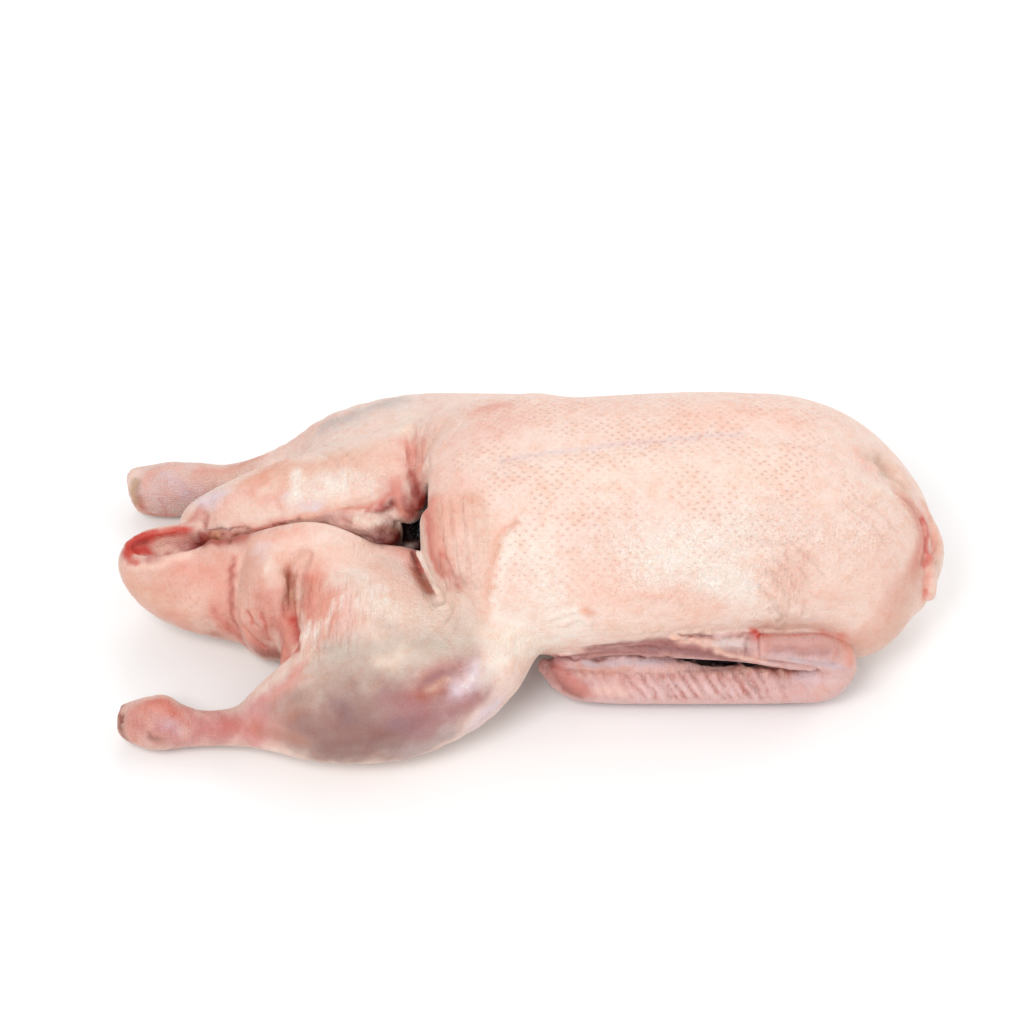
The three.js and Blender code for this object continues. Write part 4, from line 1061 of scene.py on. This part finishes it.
def painted(P, found, ridges):
    """The colour of each point: the strokes in order, each laid over the ones before; some are painted
    highlights and painted shade.
    """
    wide = wandering(P, WIDE_WAVES) - P
    narrow = wandering(P, NARROW_WAVES)
    near_side = narrow * np.where(P[:, 1:2] > 0, MIRROR, 1)
    colour = np.repeat(linear("cream")[None], len(P), 0).astype(np.float32)

    def lay(tone, amount):
        colour[:] += amount[:, None] * (linear(tone) - colour)

    lay("quill", smooth(both_sides(wing, P), 1.6, 0.3))
    for tone, strength, radius, line in found(PAINT):
        drifting = narrow + wide * min(radius / 10, 1) ** 1.5
        lay(tone, strength * close_to(drifting, line, radius))
    for tone, strength, radius, line in found(WING_PAINT):
        lay(tone, strength * close_to(near_side, line, radius))
    # Painted shade: the grooves under the quill stumps darkened with dusk
    for height, width, line in ridges:
        if height < 0:
            lay("dusk", min(0.75, -0.8 * height) * close_to(narrow, line, 0.9))
    pieces = any_of(P, [HANGING_LOBE, LOBE_ROOT, NEAR_LIP, FAT_STRING, *GUT_PIECES])
    open_air = smooth(pieces, 0.8, 2.4)

    # The openings; the near black deep in the cavity and in the gaps of the wings is painted shade
    hollow = limb(P, CAVITY)
    lay("wine", smooth(hollow, 2.4, 0.8) * open_air)
    # Painted shade: near black deep inside the cavity
    lay("cavity_shade", smooth(hollow, 1.6, 0.2) * smooth(P[:, 0], -62, -48) * open_air)
    lay("umber", 0.75 * smooth(limb(P, RED_SLIT), 0.6, -0.8))
    lay("ochre", 0.8 * close_to(P, SLIT_FLOOR, 3))
    lay("shade", smooth(any_of(near_side, WING_GAP_DEPTHS), 1.0, 0.1))
    return np.hstack([colour, np.ones((len(P), 1), np.float32)])


# Where the skin is streaky (finely wrinkled along the cross sections): strength, radius, line
STREAKS = [
    (1.0, 10, [(-90, -30, 48), (-86, -45, 50), (-88, -60, 46)]),
    (0.9, 10, [(-73, -30, 55), (-72, -45, 54), (-76, -60, 51)]),
    (0.6, 9, [(-60, -38, 56), (-60, -52, 54)]),
    (1.0, 9, [(-38, -18, 88), (-35, -32, 86), (-31, -44, 76)]),
    (0.7, 8, [(-24, -22, 95), (-22, -36, 90), (-21, -47, 80)]),
    (0.8, 8, [(102, -42, 79), (108, -45, 69), (110, -48, 57)]),
    (0.6, 8, [(160, -4, 72), (164, -16, 62), (160, -28, 56)]),
    (0.6, 8, [(-116, -28, 46), (-112, -35, 38), (-112, -39, 26)]),
    (0.7, 9, [(-42, 60, 66), (-42, 35, 75), (-42, 12, 86)]),
    (0.8, 11, [(-166, -74, 14), (-150, -75, 14), (-128, -74, 13)]),
    (0.5, 8, [(-80, 24, 62), (-62, 24, 66), (-52, 28, 69)]),
]

# Rows of follicles run round the breast: their step, and the height and radius of its section
ROW_STEP = 3.05
BREAST_MIDDLE = 50
BREAST_RADIUS = 54

# Where the skin is laced with pale fat: strength, radius, line
LACE = [
    (1.0, 17, [(30, -38, 90), (66, -38, 90), (100, -36, 90)]),
    (0.9, 15, [(46, -46, 76), (80, -46, 74), (104, -42, 76)]),
    (0.7, 14, [(100, -30, 92), (128, -30, 86), (146, -28, 76)]),
    (0.8, 13, [(-2, -44, 86), (10, -52, 74)]),
    (0.8, 9, [(-100, 22, 58), (-80, 20, 62), (-66, 20, 64)]),
    (0.6, 12, [(-60, -46, 56), (-40, -52, 56)]),
    (0.5, 14, [(-80, -80, 48), (-50, -84, 48), (-30, -78, 48)]),
]


def follicles(P):
    """Where a point lies in the slanting rows of follicles, and how laced with fat it is."""
    angle = np.arctan2(P[:, 2] - BREAST_MIDDLE, P[:, 1] - MIDDLE)
    along, across = P[:, 0] / ROW_STEP, angle * BREAST_RADIUS / ROW_STEP
    lace = sum(strength * close_to(P, line, radius) for strength, radius, line in LACE)
    slant = math.sqrt(0.5)
    return np.stack([(along + across) * slant, (along - across) * slant, np.minimum(lace, 1)], 1)


# Soft limits of the follicles and scales: x along the breast, z up it, x and z at the rump, x at the shanks
BREAST_REAR = (-50, -25)
BREAST_FRONT = (185, 160)
BREAST_LOW = (30, 50)
BREAST_HIGH = (55, 100)
RUMP_FRONT = (-100, -125)
RUMP_TOP = (47, 40)
SHANK_START = (-112, -125)


def zones(P):
    """How strongly the follicles show, how scaly the skin is, how wet and how streaky."""
    x, z = P[:, 0], P[:, 2]
    shanks = any_of(P, [NEAR_LEG, FAR_LEG])
    wings = smooth(both_sides(wing, P), 2.0, 0.4)
    upper = (0.2 + 0.8 * smooth(z, *BREAST_HIGH)) * smooth(z, *BREAST_LOW)
    breast = smooth(x, *BREAST_REAR) * smooth(x, *BREAST_FRONT) * upper
    tail = smooth(limb(P, TAIL, TAIL_FLATNESS), 6, 2)
    rump = 0.6 * smooth(x, *RUMP_FRONT) * tail * smooth(z, *RUMP_TOP)
    pores = np.maximum(breast, rump) * (1 - wings)
    scaly = smooth(x, *SHANK_START) * smooth(shanks, 4, 1)
    inner = any_of(P, [FAT_STRING, CAVITY, RED_SLIT, *GUT_PIECES])
    wet = np.maximum(smooth(inner, 2.0, 0.6), 0.6 * wings)
    streaky = sum(strength * close_to(P, line, radius) for strength, radius, line in STREAKS)
    return np.stack([pores, scaly, wet, np.minimum(np.maximum(streaky, 0.3 * wings), 1)], 1)


def mesh_object(name, V, Q, layers):
    """A smooth quad mesh in metres with its point attributes."""
    mesh = bpy.data.meshes.new(name)
    mesh.vertices.add(len(V))
    mesh.vertices.foreach_set("co", (V * MM).astype(np.float32).ravel())
    mesh.loops.add(len(Q) * 4)
    mesh.loops.foreach_set("vertex_index", Q.astype(np.int32).ravel())
    mesh.polygons.add(len(Q))
    mesh.polygons.foreach_set("loop_start", np.arange(0, len(Q) * 4, 4, dtype=np.int32))
    mesh.update(calc_edges=True)
    mesh.validate()
    mesh.polygons.foreach_set("use_smooth", np.ones(len(mesh.polygons), bool))
    for key, values in layers.items():
        kind, field = ("FLOAT_COLOR", "color") if values.shape[1] == 4 else ("FLOAT_VECTOR", "vector")
        layer = mesh.attributes.new(key, kind, "POINT")
        layer.data.foreach_set(field, values.astype(np.float32).ravel())
    piece = bpy.data.objects.new(name, mesh)
    bpy.context.scene.collection.objects.link(piece)
    return piece


class Shading:
    """A node material built call by call."""

    def __init__(self, name):
        self.material = bpy.data.materials.new(name)
        self.material.use_nodes = True
        self.tree = self.material.node_tree
        self.shader = self.tree.nodes["Principled BSDF"]

    def set(self, node, sockets):
        for key, value in sockets.items():
            if isinstance(value, bpy.types.NodeSocket):
                self.tree.links.new(value, node.inputs[key])
            else:
                node.inputs[key].default_value = value

    def add(self, kind, sockets=None, **settings):
        node = self.tree.nodes.new("ShaderNode" + kind)
        for key, value in settings.items():
            setattr(node, key, value)
        self.set(node, sockets or {})
        return node

    def noise(self, place, scale, detail=3.0, roughness=0.5):
        sockets = {"Vector": place, "Scale": scale, "Detail": detail, "Roughness": roughness}
        return self.add("TexNoise", sockets).outputs["Fac"]

    def span(self, value, low, high, to_low=0.0, to_high=1.0):
        sockets = {"Value": value, "From Min": low, "From Max": high, "To Min": to_low, "To Max": to_high}
        return self.add("MapRange", sockets, interpolation_type="SMOOTHSTEP").outputs["Result"]

    def math(self, operation, *values):
        return self.add("Math", dict(enumerate(values)), operation=operation).outputs[0]

    def times(self, first, second):
        return self.math("MULTIPLY", first, second)

    def total(self, parts):
        """The sum of values, each times its weight."""
        out = 0.0
        for value, weight in parts:
            out = self.math("MULTIPLY_ADD", value, weight, out)
        return out

    def vector(self, operation, first, second):
        return self.add("VectorMath", {0: first, 1: second}, operation=operation).outputs

    def mix(self, factor, first, second, blend_type="MIX"):
        node = self.add("Mix", data_type="RGBA", blend_type=blend_type)
        self.set(node, {0: factor, 6: first, 7: second})
        return node.outputs[2]

    def stained(self, tone, stains):
        """The tone multiplied by each colour in turn, as much as its amount says."""
        for amount, colour in stains:
            tone = self.mix(amount, tone, (*colour, 1), "MULTIPLY")
        return tone

    def finish(self, **sockets):
        self.set(self.shader, {key.replace("_", " "): value for key, value in sockets.items()})
        return self.material


# Scale, detail and roughness of the skin's noises
BROAD = (50, 3, 0.5)
PATCHY = (190, 4, 0.6)
KNOTS = (270, 4, 0.65)
FINE = (1000, 3, 0.6)
STREAKY = (700, 3, 0.65)
STREAK_STRETCH = (1.0, 0.13, 0.13)
SCALE_PLATES = 1150.0
FOLLICLE_TONE = (0.54, 0.26, 0.21, 1)


def follicle_marks(skin, rows):
    """Distance from the nearest follicle, and how much its slanting dash shows."""
    cells = skin.add("TexVoronoi", {"Vector": rows, "Scale": 1.0, "Randomness": 0.4}, voronoi_dimensions="2D")
    offset = skin.vector("SUBTRACT", rows, cells.outputs["Position"])[0]
    along = skin.vector("DOT_PRODUCT", offset, (0.36, 0.36, 0))["Value"]
    across = skin.vector("DOT_PRODUCT", offset, (1.0, -1.0, 0))["Value"]
    dash = skin.math("SQRT", skin.total([(along, along), (across, across)]))
    return cells.outputs["Distance"], skin.span(dash, 0.17, 0.05)


def skin_material():
    skin = Shading("duck_skin")
    tone = skin.add("Attribute", attribute_name="tint").outputs["Color"]
    zone = skin.add("Attribute", attribute_name="zone").outputs
    part = skin.add("SeparateColor", {"Color": zone["Color"]}).outputs
    pores, scaly, wet, streaky = part["Red"], part["Green"], part["Blue"], zone["Alpha"]
    rows = skin.add("Attribute", attribute_name="follicles").outputs["Vector"]
    laced = skin.add("SeparateXYZ", {0: rows}).outputs["Z"]
    place = skin.add("TexCoord").outputs["Object"]
    broad, patchy, knots, fine = [skin.noise(place, *noise) for noise in (BROAD, PATCHY, KNOTS, FINE)]
    streak = skin.noise(skin.vector("MULTIPLY", place, STREAK_STRETCH)[0], *STREAKY)
    net = skin.math("ABSOLUTE", skin.math("SUBTRACT", knots, 0.5))
    veined = skin.times(skin.span(net, 0.08, 0.0, 0, 0.8), laced)
    grain = skin.times(skin.span(fine, 0.42, 0.66, 0, 0.42), skin.span(patchy, 0.35, 0.6, 0.4, 1))
    middle, dash = follicle_marks(skin, rows)
    shown = skin.times(pores, skin.span(broad, 0.36, 0.6, 0.25, 1))
    dot = skin.times(dash, shown)
    scales = skin.add("TexVoronoi", {"Vector": place, "Scale": SCALE_PLATES, "Randomness": 0.4})
    plates = skin.times(skin.span(scales.outputs["Distance"], 0.25, 0.6), scaly)

    tone = skin.stained(tone, [
        (skin.span(broad, 0.42, 0.68, 0, 0.45), (1.0, 0.92, 0.89)),
        (skin.span(patchy, 0.46, 0.68, 0, 0.8), (0.98, 0.88, 0.83)),
        (skin.span(patchy, 0.46, 0.32, 0, 0.6), (1.04, 1.07, 1.08)),
        (veined, (1.16, 1.2, 1.24)),
        (grain, (0.96, 0.85, 0.81)),
        # Dark and pale streaks where the skin is finely wrinkled; the pale ones are painted highlights on the
        # wrinkles
        (skin.times(skin.span(streak, 0.5, 0.68, 0, 0.7), streaky), (0.96, 0.78, 0.74)),
        (skin.times(skin.span(streak, 0.46, 0.32, 0, 0.5), streaky), (1.12, 1.16, 1.16)),
        (skin.times(skin.span(middle, 0.45, 0.12, 0, 0.5), shown), (0.99, 0.9, 0.87)),
    ])
    tone = skin.mix(skin.times(dot, 0.32), tone, FOLLICLE_TONE)
    tone = skin.stained(tone, [(skin.times(plates, 0.7), (0.9, 0.76, 0.74))])

    goose = skin.total([(skin.span(middle, 0.45, 0.1), 0.35), (dot, -0.5)])
    drawn = skin.times(streak, streaky)
    relief = skin.total([
        (fine, 0.8), (patchy, 1.6), (goose, shown), (drawn, 2.6), (plates, -0.5), (veined, 0.5),
    ])
    bump = skin.add("Bump", {"Height": relief, "Strength": 0.7, "Distance": 0.001}).outputs["Normal"]
    dull = skin.span(fine, 0.3, 0.7, 0.42, 0.58)
    rough = skin.total([(dull, 1.0), (wet, -0.22), (streaky, -0.1)])
    return skin.finish(
        Base_Color=tone, Roughness=rough, Normal=bump, Subsurface_Weight=0.2,
        Subsurface_Radius=(1.0, 0.4, 0.25), Subsurface_Scale=0.002, Specular_IOR_Level=0.4,
        Coat_Weight=0.1, Coat_Roughness=0.3,
    )


# Quill stumps of a wing: where they begin and end along it, their step, the height of the row at some
# places, and how deep the grooves under it are at others
STUMPS = (20, 122, 4.6)
STUMP_HEIGHTS = ([20, 97, 112], [19.5, 19.8, 23])
GROOVE_DEPTHS = ([20, 42, 50, 92, 100, 122], [0.3, 0.4, 1, 1, 0.4, 0.3])

# A groove and the ridge beside it: shift along the wing, and points by share of the lean, y, and drop
STUMP_LINES = [
    (0, [(0, -51.5, 0), (0.6, -56.5, 4), (1, -58, 8.5)]),
    (-2.2, [(0, -51, 0), (0.5, -56, 3.5), (0.9, -58, 7)]),
]


def wing_ridges():
    """The row of quill stumps along each folded wing, and the slanting grooves under it."""
    rng = np.random.default_rng(5)
    places = np.arange(*STUMPS)
    depths = np.interp(places, *GROOVE_DEPTHS)
    starts, folds = [], []
    for x in places:
        lean = rng.uniform(4.5, 8)
        top = np.interp(x, *STUMP_HEIGHTS)
        x += rng.uniform(-1.2, 1.2)
        for shift, line in STUMP_LINES:
            starts.append([(x + shift + share * lean, y, top - drop) for share, y, drop in line])
    rows = settled(np.array(starts).reshape(-1, 3)).reshape(-1, 3, 3)
    for number, row in enumerate(rows):
        groove = number % 2 == 0
        height, width = (-rng.uniform(0.6, 1.5), 1.2) if groove else (rng.uniform(0.3, 0.9), 1.4)
        knob = (rng.uniform(0.8, 1.4), rng.uniform(1.5, 2.1))
        for side in (1, MIRROR):
            folds.append((height * depths[number // 2], width, row * side))
            if not groove:
                folds.append((*knob, row[:1] * side))
    return folds


# The box that holds the bird, and the grid in it: coarse step, and how many fine steps that is
LOW_CORNER = (-182.0, -101.0, -4.0)
HIGH_CORNER = (184.0, 101.0, 112.0)
GRID = (2.2, 2)


def build_duck():
    V, Q = surface(duck, LOW_CORNER, HIGH_CORNER, *GRID)
    found = skin_finder(V, Q)
    ridges = wing_ridges()
    layers = {"tint": painted(V, found, ridges), "follicles": follicles(V), "zone": zones(V)}
    V = V + normals_of(V, Q) * raised(V, found(all_folds()) + ridges)[:, None]
    piece = mesh_object("duck_skin", V, Q, layers)
    piece.data.materials.append(skin_material())
    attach(piece, "root")
    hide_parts("duck")


# Lamps: place, target, size, power
LIGHTS = {
    "key": ((-0.35, -0.65, 1.0), (0, 0, 0.05), 0.5, 7),
    "front": ((0.0, -1.3, 0.3), (0, 0, 0.03), 0.9, 3),
    "fill": ((0.9, 0.2, 0.8), (0, 0, 0.05), 0.9, 4),
    "back": ((0.1, 1.1, 0.9), (0, 0, 0.05), 0.9, 5),
}
SKY_STRENGTH = 0.66
FLOOR_REACH = 3.0
FLOOR_NOISE = 8
FLOOR_GREYS = ((0.86, 0.86, 0.86, 1), (0.9, 0.9, 0.9, 1))


def area_light(name, place, target, size, power):
    data = bpy.data.lights.new(name, "AREA")
    data.energy = power
    data.size = size
    lamp = bpy.data.objects.new(name, data)
    lamp.location = place
    lamp.rotation_euler = (Vector(target) - lamp.location).to_track_quat("-Z", "Y").to_euler()
    bpy.context.scene.collection.objects.link(lamp)


def build_floor():
    mesh = bpy.data.meshes.new("floor")
    corners = [(x * FLOOR_REACH, y * FLOOR_REACH, 0) for x, y in ((-1, -1), (1, -1), (1, 1), (-1, 1))]
    mesh.from_pydata(corners, [], [(0, 1, 2, 3)])
    floor = bpy.data.objects.new("floor", mesh)
    bpy.context.scene.collection.objects.link(floor)
    white = Shading("floor_white")
    cloudy = white.noise(white.add("TexCoord").outputs["Object"], FLOOR_NOISE)
    white.finish(Base_Color=white.mix(cloudy, *FLOOR_GREYS), Roughness=0.6)
    mesh.materials.append(white.material)


def build_light():
    world = bpy.data.worlds.new("studio")
    world.use_nodes = True
    back = world.node_tree.nodes["Background"]
    back.inputs["Color"].default_value = (1, 1, 1, 1)
    back.inputs["Strength"].default_value = SKY_STRENGTH
    bpy.context.scene.world = world
    for name, lamp in LIGHTS.items():
        area_light(name, *lamp)
    bpy.context.scene.view_settings.view_transform = "Standard"


def build_camera():
    data = bpy.data.cameras.new("camera")
    data.lens = LENS
    data.sensor_width = SENSOR
    data.clip_start = 0.01
    camera = bpy.data.objects.new("camera", data)
    bpy.context.scene.collection.objects.link(camera)
    camera.location = TARGET + DISTANCE * TO_CAMERA
    camera.rotation_euler = (-TO_CAMERA).to_track_quat("-Z", "Y").to_euler()
    bpy.context.scene.camera = camera


build_camera()
build_duck()
build_floor()
build_light()
